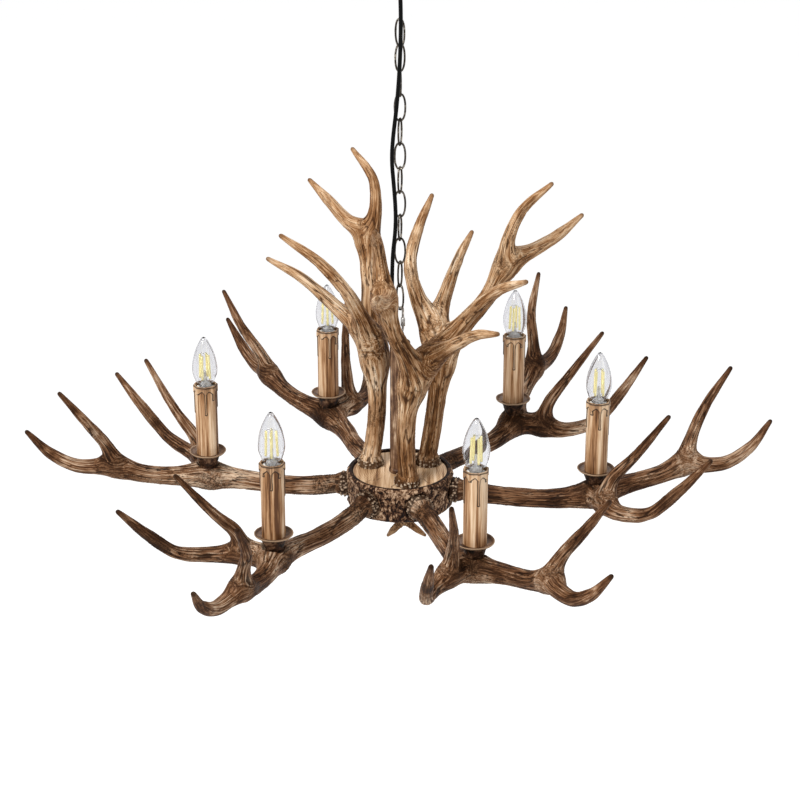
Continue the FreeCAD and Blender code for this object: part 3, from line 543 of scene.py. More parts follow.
def pan_finish():
    f = Finish("pan_bronze")
    cloud = f.noise(f.places(), 70.0, 4.0, 0.6, 0.4)
    specks = f.noise(f.places(), 500.0, 3.0, 0.7)
    rim = f.stored("rim")
    colour = f.ramp(cloud * 0.6 + specks * 0.4, [(0.36, (0.030, 0.012, 0.006)), (0.51, (0.105, 0.052, 0.025)),
                                                 (0.66, (0.25, 0.145, 0.080))])
    colour = f.mix(rim * 0.6, colour, (0.42, 0.285, 0.175))
    return f.coat(colour=colour, roughness=specks * 0.25 + 0.38, metallic=0.15, specular=0.3,
                  normal=f.bump(specks, 0.0004, 0.5))


def sleeve_finish():
    """Wood-look card: brown streaks down a light tan ground, with painted shade under the edges of the wax.
    """
    f = Finish("sleeve_wood")
    wax, edge, mouth = f.stored("wax"), f.stored("edge"), f.stored("mouth")
    streaks = f.noise(f.stretched(f.places(), (210.0, 210.0, 9.0)), 1.0, 4.0, 0.62, 0.25)
    broad = f.noise(f.stretched(f.places(), (85.0, 85.0, 4.0)), 1.0, 2.0, 0.5)
    tone = streaks * 0.75 + broad * 0.60 - 0.175
    colour = f.ramp(tone, [(0.40, (0.085, 0.032, 0.010)), (0.465, (0.250, 0.120, 0.048)),
                           (0.54, (0.43, 0.255, 0.135)), (0.66, (0.68, 0.51, 0.345))])
    colour = f.mix(wax * 0.30, colour, (0.44, 0.285, 0.165))
    colour = f.mix(mouth * 0.55, colour, (0.085, 0.038, 0.016))
    # painted shade: near black along the edges of the wax; the same mask also darkens a ring just under the
    # lip
    colour = f.mix(f.clamp(edge, 0.15, 0.7) * 0.94, colour, (0.010, 0.005, 0.003))
    return f.coat(colour=colour, roughness=streaks * 0.2 + 0.45, specular=0.25,
                  normal=f.bump(streaks, 0.0004, 0.5))


def brass_finish(name, light):
    f = Finish(name)
    wear = f.noise(f.places(), 260.0, 4.0, 0.65)
    cloud = f.noise(f.places(), 60.0, 3.0, 0.6)
    colour = f.ramp(wear * 0.6 + cloud * 0.4, [(0.38, (0.012, 0.010, 0.008)), (0.53, (0.07, 0.058, 0.045)),
                                               (0.66, light)])
    return f.coat(colour=colour, roughness=wear * 0.3 + 0.16, metallic=0.9, normal=f.bump(wear, 0.0002, 0.4))


def steel_finish(name, dark, light):
    f = Finish(name)
    wear = f.noise(f.places(), 320.0, 3.0, 0.6)
    colour = f.ramp(wear, [(0.35, dark), (0.65, light)])
    return f.coat(colour=colour, roughness=wear * 0.3 + 0.18, metallic=0.95,
                  normal=f.bump(wear, 0.00012, 0.3))


def moulded_finish(name, dark, light, rough, specular=0.5):
    f = Finish(name)
    grain = f.noise(f.places(), 900.0, 2.0, 0.6)
    colour = f.mix(grain, dark, light)
    return f.coat(colour=colour, roughness=grain * 0.12 + rough, normal=f.bump(grain, 0.00008, 0.3),
                  specular=specular)


def glass_finish(name, tint, edge, rough, clear=1.0, ior=1.45):
    """Clear glass with a painted dark reflection: its tint is deeper where it is seen on edge."""
    f = Finish(name)
    waves = f.noise(f.places(), 60.0, 1.0, 0.5)
    # painted reflection: the tint turns towards the darker edge colour where the surface is seen on edge
    rim = f.node("ShaderNodeLayerWeight", None, {"Blend": 0.35}, 1)
    return f.coat(colour=f.mix(f.clamp(rim, 0.40, 0.95), tint, edge), roughness=rough,
                  transmission=clear, ior=ior, normal=f.bump(waves, 0.00006, 0.2))


def filament_finish():
    f = Finish("filament_rod")
    grain = f.noise(f.places(), 700.0, 2.0, 0.6)
    colour = f.ramp(grain, [(0.3, (0.92, 0.78, 0.30)), (0.7, (0.97, 0.89, 0.46))])
    return f.coat(colour=colour, roughness=0.45, glow=colour, glow_strength=0.30)


ARM_RESIN = antler_finish("arm_resin", (0.011, 0.004, 0.0013), (0.066, 0.026, 0.010),
                          (0.195, 0.096, 0.046), (0.54, 0.395, 0.275), 0.50, 0.42, 0.6, 0.7)
UPRIGHT_RESIN = antler_finish("upright_resin", (0.036, 0.013, 0.004), (0.215, 0.096, 0.035),
                              (0.480, 0.300, 0.165), (0.80, 0.65, 0.48), 0.40, 0.30, 0.35, 0.25)
BARK = bark_finish()
SAWN = sawn_finish()
COLUMN_GLAZE = column_finish()
CUP_RESIN = cup_finish()
PAN_BRONZE = pan_finish()
SLEEVE_WOOD = sleeve_finish()
BRASS = brass_finish("antique_brass", (0.55, 0.49, 0.41))
CANOPY_BRASS = brass_finish("canopy_brass", (0.13, 0.105, 0.078))
ZINC = steel_finish("zinc", (0.45, 0.45, 0.44), (0.70, 0.70, 0.68))
STEEL = steel_finish("link_steel", (0.20, 0.19, 0.18), (0.80, 0.79, 0.76))
NICKEL = steel_finish("cap_nickel", (0.62, 0.61, 0.58), (0.86, 0.85, 0.82))
HOLDER = moulded_finish("holder_white", (0.74, 0.72, 0.66), (0.84, 0.82, 0.77), 0.3)
TERMINAL = moulded_finish("terminal_white", (0.78, 0.77, 0.73), (0.88, 0.87, 0.84), 0.4)
SHEATH = moulded_finish("cord_sheath", (0.002, 0.002, 0.002), (0.005, 0.005, 0.005), 0.30, 0.05)
CLEAR = glass_finish("bulb_clear", (0.87, 0.87, 0.885), (0.22, 0.21, 0.27), 0.0)
FROST = glass_finish("stem_glass", (0.96, 0.96, 0.96), (0.80, 0.80, 0.82), 0.20, 0.45, 1.2)
FILAMENT = filament_finish()


# --- antlers ------------------------------------------------------------------------------
LIMB_GAP = 3.0
LIMB_SIDES = 28
SKIN_CELL = 1.5
WEB = 8.0                  # how widely limbs run together in a fork
TIP_FULLER = 1.0           # what a limb's tip gains in radius over the solid's
TINE_LENGTH = 110.0        # the last stretch of a limb, browner and smoother


def joined(parts):
    points, faces, start = [], [], 0
    for p, f in parts:
        points.append(p)
        faces += [tuple(i + start for i in face) for face in f]
        start += len(p)
    return np.vstack(points), faces


def skin_round(parts, cell):
    """One closed skin round the joined volumes of the parts, on a grid of that cell, then eased
    by moving each point halfway to the mean of its neighbours a few times."""
    points, faces = joined(parts)
    rough = bpy.data.meshes.new("limbs")
    rough.from_pydata(points.tolist(), [], faces)
    holder = placed("limbs", rough)
    remesh = holder.modifiers.new("skin", "REMESH")
    remesh.mode = "VOXEL"
    remesh.voxel_size = cell
    ready = holder.evaluated_get(bpy.context.evaluated_depsgraph_get())
    mesh = bpy.data.meshes.new_from_object(ready)
    bpy.data.objects.remove(holder)
    spots = np.zeros(len(mesh.vertices) * 3)
    mesh.vertices.foreach_get("co", spots)
    spots = spots.reshape(-1, 3)
    edges = np.zeros(len(mesh.edges) * 2, np.int64)
    mesh.edges.foreach_get("vertices", edges)
    a, b = edges.reshape(-1, 2).T
    ends, others = np.concatenate([a, b]), np.concatenate([b, a])
    count = np.bincount(ends, minlength=len(spots))[:, None]
    for _ in range(4):
        total = np.column_stack([np.bincount(ends, spots[others, axis], minlength=len(spots))
                                 for axis in range(3)])
        spots = spots * 0.5 + total / count * 0.5
    corners = np.zeros(len(mesh.loops), np.int64)
    mesh.loops.foreach_get("vertex_index", corners)
    return spots, corners.reshape(-1, 4)


def outward(points, faces):
    """Unit normals of a closed quad mesh: the cross products of each face's diagonals, added up
    at its corners."""
    square = np.cross(points[faces[:, 2]] - points[faces[:, 0]], points[faces[:, 3]] - points[faces[:, 1]])
    total = np.zeros_like(points)
    for k in range(4):
        for axis in range(3):
            total[:, axis] += np.bincount(faces[:, k], square[:, axis], minlength=len(points))
    return total / np.maximum(np.linalg.norm(total, axis=1), 1e-9)[:, None]


def rounded_tip(run):
    """A limb's run, a little fuller towards its end, with stations that close it like a thimble."""
    length = np.concatenate([[0], np.cumsum(np.linalg.norm(np.diff(run[:, :3], axis=0), axis=1))])
    run = run.copy()
    run[:, 3] += TIP_FULLER * step(length, length[-1] * 0.5, length[-1])
    ahead = (run[-1, :3] - run[-3, :3]) / np.linalg.norm(run[-1, :3] - run[-3, :3])
    radius = run[-1, 3]
    more = [(*(run[-1, :3] + ahead * radius * d), radius * r)
            for d, r in ((0.4, 0.9), (0.75, 0.62), (0.95, 0.2))]
    return np.vstack([run, more])


def follow(spots, run):
    """Where each spot lies on a limb: its distance outside the limb's surface, its length along
    the limb from the base, its angle round it and the limb's radius there."""
    path, radii = run[:, :3], run[:, 3]
    along, across, up = directions(path)
    length = np.concatenate([[0], np.cumsum(np.linalg.norm(np.diff(path, axis=0), axis=1))])
    nearest = np.zeros(len(spots), np.int64)
    for first in range(0, len(spots), 4000):
        part = spots[first:first + 4000]
        away = np.linalg.norm(part[:, None] - path[None], axis=2) - radii[None]
        nearest[first:first + 4000] = np.argmin(away, axis=1)
    offset = spots - path[nearest]
    ahead = np.sum(offset * along[nearest], axis=1)
    side = offset - along[nearest] * ahead[:, None]
    angle = np.arctan2(np.sum(side * up[nearest], axis=1), np.sum(side * across[nearest], axis=1))
    distance = np.linalg.norm(offset, axis=1) - radii[nearest]
    return distance, length[nearest] + ahead, angle, radii[nearest], length[-1]


def webbed(spots, faces, runs, web):
    """Fills the forks: each point moves out until the blended distance to the limbs,
    -web ln(sum of exp(-distance / web)), is nothing."""
    for _ in range(3):
        gaps = np.array([follow(spots, run)[0] for run in runs])
        blend = -web * np.log(np.exp(-np.maximum(gaps, -2) / web).sum(0))
        spots = spots - outward(spots, faces) * np.minimum(blend, 0)[:, None] * 0.7
    return spots


def grain_starts(runs):
    """Each limb's length measure begins at what its parent's measure is where it grows out."""
    starts = [0.0]
    for k, run in enumerate(runs[1:], 1):
        places = [follow(run[:1, :3], other) for other in runs[:k]]
        parent = int(np.argmin([place[0][0] for place in places]))
        starts.append(starts[parent] + places[parent][1][0])
    return starts


def casting(limbs, burr_middle, seed, web=WEB, rough_base=0.8):
    """A grown antler: limbs joined by one skin with webs in the forks. Its surface has lengthwise
    grooves whose course wanders (sharp valleys of noise stretched along each limb), swellings,
    pearls in the forks and near the burr, and a ring of packed knobs at the burr. Gives points,
    faces and values."""
    runs = [rounded_tip(smooth_run(limb, LIMB_GAP)) for limb in limbs]
    spots, faces = skin_round([capped_tube(r[:, :3], r[:, 3], LIMB_SIDES) for r in runs], SKIN_CELL)
    spots = webbed(spots, faces, runs, web)
    out = outward(spots, faces)
    fields = [follow(spots, run) for run in runs]
    gaps = np.array([np.maximum(f[0], -6) for f in fields])
    share, broad = np.exp(-gaps / 1.6), np.exp(-gaps / 3.5)
    share, broad = share / share.sum(0), broad / broad.sum(0)
    starts = grain_starts(runs)
    groove, tine, grain = 0.0, 0.0, 0.0
    for k, (weight, (_, length, angle, radius, whole)) in enumerate(zip(share, fields)):
        round_x, round_y = np.cos(angle) * radius, np.sin(angle) * radius
        course = np.stack([length / 58, round_x / 3.2, round_y / 3.2], 1)
        wander = noise(np.stack([length / 26, round_x / 9, round_y / 9], 1), seed + 5 * k) - 0.5
        lines = noise(course + wander[:, None] * np.array([0, 0.9, 0.9]), seed + 40 + k)
        valley = step(1 - np.abs(2 * lines - 1), 0.84, 1.0)
        smooth = step(length, whole * 0.55, whole * 0.92)
        groove = groove + weight * valley * (1 - smooth)
        tine = tine + weight * np.clip((length - whole + TINE_LENGTH) / TINE_LENGTH, 0, 1)
        grain = grain + broad[k][:, None] * np.stack([length + starts[k], round_x, round_y], 1)
    base = fields[0][1]
    fork = 1 - step(np.sort(gaps, axis=0)[1], 0.5, 13)
    lower = 1 - step(base, 26, 150)
    drift = rough_noise(spots / 38, seed + 80)
    zone = np.clip(fork * 0.9 + lower * step(drift, 0.42, 0.62) * rough_base
                   + step(drift, 0.60, 0.72) * 0.45 * (1 - step(tine, 0.3, 0.7)), 0, 1)
    pearl = zone * beads(spots, 2.9, seed + 90)
    on_burr = np.exp(-((base - burr_middle) / 5.6) ** 4) * share[0]
    knobs = beads(spots, 3.9, seed + 95)
    swell = (rough_noise(spots / 24, seed + 100) - 0.5) * 2.0 * (1 - step(tine, 0.5, 1.0))
    height = swell - groove * 0.95 * (1 - on_burr) + pearl * 0.9 + on_burr * (knobs * 3.4 - 0.6)
    # the crowns of the burr's knobs, which the finish paints pale as a highlight standing for glints
    crown = step(knobs, 0.35, 0.85) * step(on_burr, 0.15, 0.50) * 0.9
    values = {"groove": np.clip(groove * (1 - on_burr) + on_burr * (1 - crown) * 1.5, 0, 1), "knob": crown,
              "pearl": np.clip(zone * (1 - on_burr), 0, 1), "tine": tine, "grain": grain}
    return spots + out * height[:, None], faces, values


def burr_stations(lead):
    return [lead(distance) + (radius,) for distance, radius in BURR]


def make_arms():
    limbs = [burr_stations(lambda d: (d, 0, 0)) + ARM_MAIN, ARM_LONG_UP, ARM_SHORT, ARM_SHORT_UP]
    spots, faces, values = casting(limbs, 6.5, 11)
    for n, (azimuth, roll, droop) in enumerate(ARM_SEATS, 1):
        turn = turned_by("z", azimuth)
        own = spots @ (turned_by("y", droop) @ turned_by("x", roll)).T
        own[:, 0] = np.maximum(own[:, 0], SEAT_PLAY) + HUB_RADIUS - ARM_SEAT_DEPTH + SEAT_PLAY
        own = own @ turn.T + [0, 0, ARM_BOLT_Z]
        cup = candle_middle(n)
        reach = np.hypot(own[:, 0] - cup[0], own[:, 1] - cup[1])
        ceiling = cup[2] + 0.4 + step(reach, 12.0, 20.0) * 12
        own[:, 2] = np.where(reach < 20, np.minimum(own[:, 2], ceiling), own[:, 2])
        piece("arm_%d" % n, (own, faces), ARM_RESIN, "fixture", "antler_brown", "arm_antler_%d" % n,
              values=values)


def make_uprights():
    limbs = [burr_stations(lambda d: (0, 0, d - 3)) + UPRIGHT_MAIN,
             UPRIGHT_LONG_UP, UPRIGHT_SHORT, UPRIGHT_SHORT_UP]
    spots, faces, values = casting(limbs, 7.5, 57, web=11.0, rough_base=0.25)
    for n, (azimuth, turn, along, across) in enumerate(UPRIGHT_SEATS, 1):
        a = math.radians(azimuth)
        place = np.array([UPRIGHT_CIRCLE * math.cos(a), UPRIGHT_CIRCLE * math.sin(a), DISC_TOP])
        own = spots @ (turned_by("z", turn) @ turned_by("x", across) @ turned_by("y", along)).T + place
        own[:, 2] = np.maximum(own[:, 2], DISC_TOP + SEAT_PLAY)
        piece("upright_%d" % n, (own, faces), UPRIGHT_RESIN, "fixture", "antler_tan",
              "upright_antler_%d" % n, values=values)


def make_finial():
    seat = DISC_LOW - SEAT_PLAY
    limbs = [[(x, 0, seat - drop, r) for x, drop, r in line] for line in (FINIAL_STEM, FINIAL_FORK)]
    spots, faces, values = casting(limbs, -40.0, 83, web=1.6)
    spots[:, 2] = np.minimum(spots[:, 2], seat)
    piece("finial_tip", (spots, faces), UPRIGHT_RESIN, "fixture", "antler_tan", "finial", values=values)


# --- hub ----------------------------------------------------------------------------------
def make_hub_ring():
    """Bark wall: the drum's outline carried round, its outside raised into plates by noise
    stretched upright and cut by sharp valleys, and flattened where the arms seat."""
    inner = HUB_RADIUS - HUB_WALL
    outline = rounded([(inner, HUB_LOW), (HUB_RADIUS - 3, HUB_LOW), (HUB_RADIUS - 0.6, HUB_LOW + 3),
                       (HUB_RADIUS - 1.5, HUB_LOW + 12), (HUB_RADIUS - 1.5, HUB_TOP - 12),
                       (HUB_RADIUS, HUB_TOP - 3), (HUB_RADIUS - 1.5, HUB_TOP), (inner, HUB_TOP)], 1.4)
    outline = spaced(outline, 1.1, closed=True)
    points, faces = turned_grid(outline, 420, closed=True)
    radius = np.hypot(points[:, 0], points[:, 1])
    around = points[:, :2] / radius[:, None]
    flow = np.column_stack([around * 20.0, points[:, 2] / 9.0])
    plates = noise(flow + 1.6 * noise(flow * 0.7, 4)[:, None], 5)
    furrow = step(1 - np.abs(2 * plates - 1), 0.78, 1.0)
    lumps = rough_noise(points / 3.8, 9, 3)
    crust = rough_noise(points / 2.2, 12, 2)
    relief = np.clip(lumps * 0.7 + crust * 0.35 - furrow * 0.34 + 0.07, 0, 1)
    outside = (step(radius, inner + 2, HUB_RADIUS - 2.5)
               * (1 - step(points[:, 2], HUB_TOP - 3.0, HUB_TOP - 1.2)))
    push = ((relief - 0.45) * 1.5 - furrow * 0.3) * outside
    relief = np.where(radius > HUB_RADIUS - 2.2, relief, relief * 0.4)
    for azimuth, _, _ in ARM_SEATS:
        a = math.radians(azimuth)
        aside = -points[:, 0] * math.sin(a) + points[:, 1] * math.cos(a)
        front = points[:, 0] * math.cos(a) + points[:, 1] * math.sin(a) > 0
        reach = np.where(front, np.hypot(aside, points[:, 2] - ARM_BOLT_Z), 99)
        collar = np.exp(-((reach - 21.5) / 3.0) ** 2) * 1.6 * outside
        pocket = (1 - step(reach, 17.5, 21.0)) * outside
        push = (push + collar) * (1 - pocket) - pocket * 1.6
    points[:, :2] += around * push[:, None]
    piece("hub_bark_wall", (points, faces), BARK, "fixture", "bark_resin", "hub_ring",
          values={"relief": relief})


def disc_piece(name, top, bottom, hole, node, seed):
    """A sawn disc: rings of points from the hole to the rim over a low crown, with growth rings
    as fine waves of the warped radius and a few cracks that run outwards, and back underneath."""
    rim = DISC_RADIUS
    top_radii = np.concatenate([np.linspace(hole, rim - 0.6, 110), [rim - 0.2, rim]])
    low_radii = np.linspace(rim, hole, 12)
    heights = np.concatenate([np.full(110, top), [top - 0.2, top - 0.8], np.full(12, bottom)])
    outline = np.column_stack([np.concatenate([top_radii, low_radii]), heights])
    points, faces = turned_grid(outline, 300, closed=True)
    faces = faces[:, ::-1]
    radius = np.hypot(points[:, 0], points[:, 1])
    angle = np.arctan2(points[:, 1], points[:, 0])
    crack = np.zeros(len(points))
    warped = radius + 5 * rough_noise(points / 30, seed)
    rings = 0.5 + 0.5 * np.sin(warped * 2.1)
    for k, (start, width, first) in enumerate([(0.35, 0.9, 24), (1.55, 0.7, 34), (2.6, 1.0, 18),
                                               (3.8, 0.8, 30), (4.6, 1.1, 12), (5.55, 0.8, 26)]):
        course = start + 0.22 * (waver(radius / 11, k, 0, seed + 3) - 0.5)
        gap = np.abs((angle - course + math.pi) % (2 * math.pi) - math.pi) * radius
        crack = np.maximum(crack, (1 - step(gap, 0.2, width)) * step(radius, first, first + 14))
    face_side = (points[:, 2] > (top + bottom) / 2) if top > bottom else (points[:, 2] < (top + bottom) / 2)
    fine = (rings - 0.5) * 0.16 + (rough_noise(points / 5, seed + 7) - 0.5) * 0.5
    sink = np.where(face_side & (radius < rim - 0.5), crack * 1.1 - fine, 0.0)
    points[:, 2] -= sink * (1 if top > bottom else -1)
    if top < bottom:
        faces = faces[:, ::-1]
    # painted shade: a dark ring along the rim, standing for the shade in the gap between the disc and the
    # bark wall
    crack = np.maximum(crack, step(radius, rim - 2.0, rim - 0.6))
    piece(name, (points, faces), SAWN, "fixture", "sawn_face_resin", node,
          values={"crack": crack, "rings": rings})


def make_discs():
    disc_piece("sawn_top", DISC_TOP, low_of("hub_top_disc")[2], 8.05, "hub_top_disc", 21)
    disc_piece("sawn_bottom", DISC_LOW, high_of("hub_bottom_disc")[2], 3.06, "hub_bottom_disc", 33)


def make_column():
    """Glazed tube: a turned outline with a rolled lip, waved a little by upright noise, and the
    bar across its mouth that carries the eye."""
    bore = COLUMN_RADIUS - 1.8
    foot = DISC_TOP + SEAT_PLAY
    outline = rounded([(bore, foot), (COLUMN_RADIUS + 1.4, foot), (COLUMN_RADIUS + 1.4, foot + 5),
                       (COLUMN_RADIUS - 0.1, foot + 7), (COLUMN_RADIUS - 0.1, COLUMN_TOP - 4),
                       (COLUMN_RADIUS + 0.5, COLUMN_TOP - 2.5), (COLUMN_RADIUS, COLUMN_TOP),
                       (bore, COLUMN_TOP)], 1.2)
    outline = spaced(outline, 3.0, closed=True)
    points, faces = turned_grid(outline, 96, closed=True)
    radius = np.hypot(points[:, 0], points[:, 1])
    around = points[:, :2] / radius[:, None]
    wave = rough_noise(np.column_stack([around * 4, points[:, 2] / 34]), 44) - 0.5
    points[:, :2] += around * (wave * 1.3 * (radius > COLUMN_RADIUS - 1))[:, None]
    piece("column_pipe", (points, faces), COLUMN_GLAZE, "fixture", "column_brown", "column")
    bar_z = COLUMN_TOP - 16
    path = [(0, y, bar_z) for y in np.linspace(-bore - 0.6, bore + 0.6, 13)]
    piece("column_crossbar", capped_tube(path, 3.2, 24), COLUMN_GLAZE, "fixture", "column_brown")


# --- candles ------------------------------------------------------------------------------
def make_cup(n):
    """Tapered cup with a foot ring, roughened by noise."""
    outline = rounded([(5.1, 0.0), (11.0, 0.0), (12.4, 1.5), (11.2, 3.6), (12.4, 6.5), (15.0, 15.0),
                       (15.9, 17.2), (15.9, 20.2), (14.8, 21.0), (5.1, 21.0)], 1.0)
    middle = candle_middle(n)
    points, faces = turned_grid(spaced(outline, 1.0, closed=True), 110, middle, closed=True)
    away = points[:, :2] - middle[:2]
    radius = np.linalg.norm(away, axis=1)
    rough = rough_noise(points / 3.4, 60, 3) - 0.5
    level = points[:, 2] - middle[2]
    push = rough * 1.7 * step(radius, 9, 11) * step(level, 0.3, 2) * (1 - step(level, 19.0, 20.6))
    points[:, :2] += away / radius[:, None] * push[:, None]
    piece("candle_cup_resin_%d" % n, (points, faces), CUP_RESIN, "fixture", "cup_brown",
          "candle_cup_%d" % n)


def make_pan(n):
    """Shallow dish: thin floor and a flared wall with a rolled rim, its edge a little uneven."""
    middle = candle_middle(n)
    floor = low_of("drip_pan_%d" % n)[2] - middle[2]
    outline = rounded([(5.1, 0.0), (17.0, 0.0), (22.0, 1.3), (24.6, 3.2), (25.6, 4.6), (25.2, 5.5),
                       (24.4, 5.1), (21.4, 2.8), (16.6, 1.6), (5.1, 1.6)], 0.8) + [0, floor]
    points, faces = turned_grid(spaced(outline, 1.2, closed=True), 128, middle, closed=True)
    away = points - middle
    radius = np.linalg.norm(away[:, :2], axis=1)
    edge = step(radius, 19, 25)
    points[:, 2] += edge * (noise(np.column_stack([away[:, :2] / 9, 0 * radius + n]), 71) - 0.5) * 1.0
    piece("drip_pan_bronze_%d" % n, (points, faces), PAN_BRONZE, "fixture", "pan_bronze",
          "drip_pan_%d" % n, values={"rim": step(radius, 23.6, 25.0)})


# each drip: where round the sleeve in degrees, how far down it runs, its half width
DRIPS = [(10, 40, 2.0), (52, 14, 2.6), (95, 27, 1.9), (140, 18, 2.5), (190, 35, 2.0), (232, 13, 2.7),
         (275, 38, 1.9), (318, 16, 2.5)]


def make_sleeve(n):
    """Card tube with moulded wax: the wax's lower edge hangs in arches between the drips, each
    drip a rounded ridge that ends in a bead, and its thickness rises steeply at that edge."""
    middle = candle_middle(n)
    low, high = low_of("candle_sleeve_%d" % n)[2] - middle[2], high_of("candle_sleeve_%d" % n)[2] - middle[2]
    inner = SLEEVE_RADIUS - SLEEVE_WALL
    wall = [(SLEEVE_RADIUS, z) for z in np.linspace(low, high - 1.6, 150)]
    lip = [(SLEEVE_RADIUS - 0.1, high - 0.9), (SLEEVE_RADIUS - 0.5, high - 0.3), (SLEEVE_RADIUS - 1.0, high),
           (inner + 0.1, high - 0.2), (inner, high - 1.0)]
    inside = [(inner, z) for z in np.linspace(high - 8, low, 12)]
    outline = np.array(wall + lip + inside)
    points, faces = turned_grid(outline, 220, (0, 0, 0), closed=True)
    angle = np.degrees(np.arctan2(points[:, 1], points[:, 0])) + 7 * (n % 3) - 7
    drop = high - points[:, 2]
    radius = np.hypot(points[:, 0], points[:, 1])
    reach = np.full(len(points), WAX_EDGE)
    ridge = np.zeros(len(points))
    for k, (where, run, half) in enumerate(DRIPS):
        bend = 2.2 * (waver(drop / 9, k, n, 78) - 0.5)
        aside = ((angle - where - bend + 180) % 360 - 180) * math.pi / 180 * SLEEVE_RADIUS
        run = run * (0.88 + 0.42 * ((k * 7 + n * 3 + 2) % 5) / 4)
        width = half * (1.0 - 0.32 * step(drop, 4, run * 0.6) + 0.25 * step(drop, run - 5, run - 1.5))
        shape = np.clip(1 - (aside / width) ** 2, 0, 1) * (drop < run)
        end = np.sqrt(np.clip(1 - (np.maximum(drop - (run - width), 0) / width) ** 2, 0, 1))
        ridge = np.maximum(ridge, np.sqrt(shape) * end)
        arch = np.exp(-(aside / (half * 1.7)) ** 2)
        reach = np.maximum(reach, WAX_EDGE + (WAX_ARCH - WAX_EDGE) * arch)
    collar = step(reach - drop, -0.2, 0.9)
    wax = np.maximum(collar, ridge)
    outside = (radius > SLEEVE_RADIUS - 0.7) & (points[:, 2] > low + 1)
    push = np.where(outside, collar * 0.75 + ridge * 1.0, 0.0)
    grid = wax.reshape(len(outline), 220)
    slope = sum(np.abs(np.roll(grid, 1, axis) - np.roll(grid, -1, axis)) for axis in (0, 1))
    # painted shade along the outline of the wax, where its raised edge stands off the card
    edge = np.clip(slope.ravel() * 1.2, 0, 1) * outside * (drop > 2.5)
    points[:, :2] *= ((radius + push) / radius)[:, None]
    mouth = 1 - step(drop + 1.6 * waver(angle / 14, 0, n, 31), 2.2, 4.6)
    # the same dark mask also takes a ring just under the lip
    edge = np.maximum(edge, np.exp(-((drop - 1.2) / 0.8) ** 2) * outside * 0.8)
    piece("candle_sleeve_wood_%d" % n, (points + middle, faces), SLEEVE_WOOD, "fixture",
          "wood_look_sleeve", "candle_sleeve_%d" % n,
          values={"wax": wax, "edge": edge, "mouth": mouth * outside})


def make_bulb(n):
    """Blown envelope: a smooth outline turned into a thin shell, its tip drawn to a point, with
    the cap, the stem and four filament rods inside."""
    place = np.array([*candle_middle(n)[:2], high_of("candle_sleeve_%d" % n)[2]])
    outside = smooth_run([(9.6, -1.5, 0), (11.6, 1.5, 0), (14.4, 8, 0), (16.8, 16, 0), (17.5, 23, 0),
                          (16.8, 32, 0), (14.7, 42, 0), (11.6, 51.5, 0), (7.9, 59.5, 0),
                          (4.9, 64.8, 0), (2.7, 67.7, 0), (0.6, 69, 0)], 1.2)[:, :2]
    inside = inset(outside, GLASS_WALL)[:-3]
    inside[-1, 0] = 0.3
    outline = np.vstack([outside, inside[::-1]])
    points, faces = turned_grid(outline, 72, place, closed=True)
    body = "bulb_%d" % n
    piece("bulb_envelope_%d" % n, (points, faces), CLEAR, body, "bulb_glass", "bulb_glass_%d" % n)

    thread = [(6.9 if k % 2 else 6.3, -4.5 - 1.6 * k) for k in range(12)]
    outline = [(9.5, -1.6), (9.3, -2.6), (7.4, -3.6)] + thread + [(4.0, -25.0), (2.6, -26.4), (0.2, -26.6)]
    outline = spaced(rounded([(0.2, -1.6)] + outline, 0.5, closed=False), 0.8)
    form = turned_grid(outline[::-1], 64, place, closed=True)
    piece("bulb_cap_%d" % n, form, NICKEL, body, "bulb_cap", "bulb_base_%d" % n)

    flare = smooth_run([(9.1, -1.5, 0), (7.0, 1.3, 0), (4.0, 4, 0), (2.4, 8, 0), (1.9, 13, 0), (2.2, 17, 0),
                        (1.5, 19.5, 0), (0.2, 20.4, 0)], 0.9)[:, :2]
    form = turned_grid(np.vstack([[(0.2, -1.6)], flare]), 40, place, closed=True)
    piece("bulb_stem_%d" % n, form, FROST, body, "bulb_glass")

    rods, wires = [], []
    for k in range(4):
        a = math.radians(45 + 90 * k + 23 * n)
        out = np.array([math.cos(a), math.sin(a), 0])
        low, high = out * 7.6 + [0, 0, 8.5], out * 6.4 + [0, 0, 43]
        rods.append(capped_tube(np.linspace(low, high, 12), 1.6, 16))
        foot = smooth_run([tuple(out * r + [0, 0, z]) for r, z in ((2.6, 5.5), (5.4, 6.0), (7.6, 8.5))], 0.7)
        head = smooth_run([tuple(out * r + [0, 0, z]) for r, z in ((6.4, 43), (3.6, 45.5), (0.2, 44.4))], 0.7)
        wires += [capped_tube(foot, 0.35, 8), capped_tube(head, 0.35, 8)]
    for name, group, finish in (("bulb_filaments", rods, FILAMENT), ("bulb_wires", wires, NICKEL)):
        points, faces = joined(group)
        piece("%s_%d" % (name, n), (points + place, faces), finish, body, "bulb_cap")


# --- chain and ceiling fittings -----------------------------------------------------------
def link_path(half_width, half_length, power, count):
    """A closed oval in the XZ plane: the point at angle t has x and z as signed powers of its
    cosine and sine, which draws the ends in to a blunt point."""
    t = circle(count)
    c, s = np.cos(t), np.sin(t)
    return np.column_stack([np.sign(c) * np.abs(c) ** power * half_width, 0 * t,
                            np.sign(s) * np.abs(s) ** 0.92 * half_length])


def chain_link(top, turn):
    wire = LINK_WIRE + LINK_WIRE_MORE
    path = link_path((LINK_WIDTH - LINK_WIRE) / 2, (LINK_PITCH + LINK_PLAY + wire) / 2, 0.86, 96)
    weld = 1 + 0.10 * np.exp(-((np.arange(96) - 2) / 2.2) ** 2)
    points = tube_grid(path, wire / 2 * weld, 16, closed=True)
    faces = grid_faces(96, 16, close_rows=True)
    return points @ turned_by("z", turn).T + [0, 0, top - LINK_PITCH / 2], faces


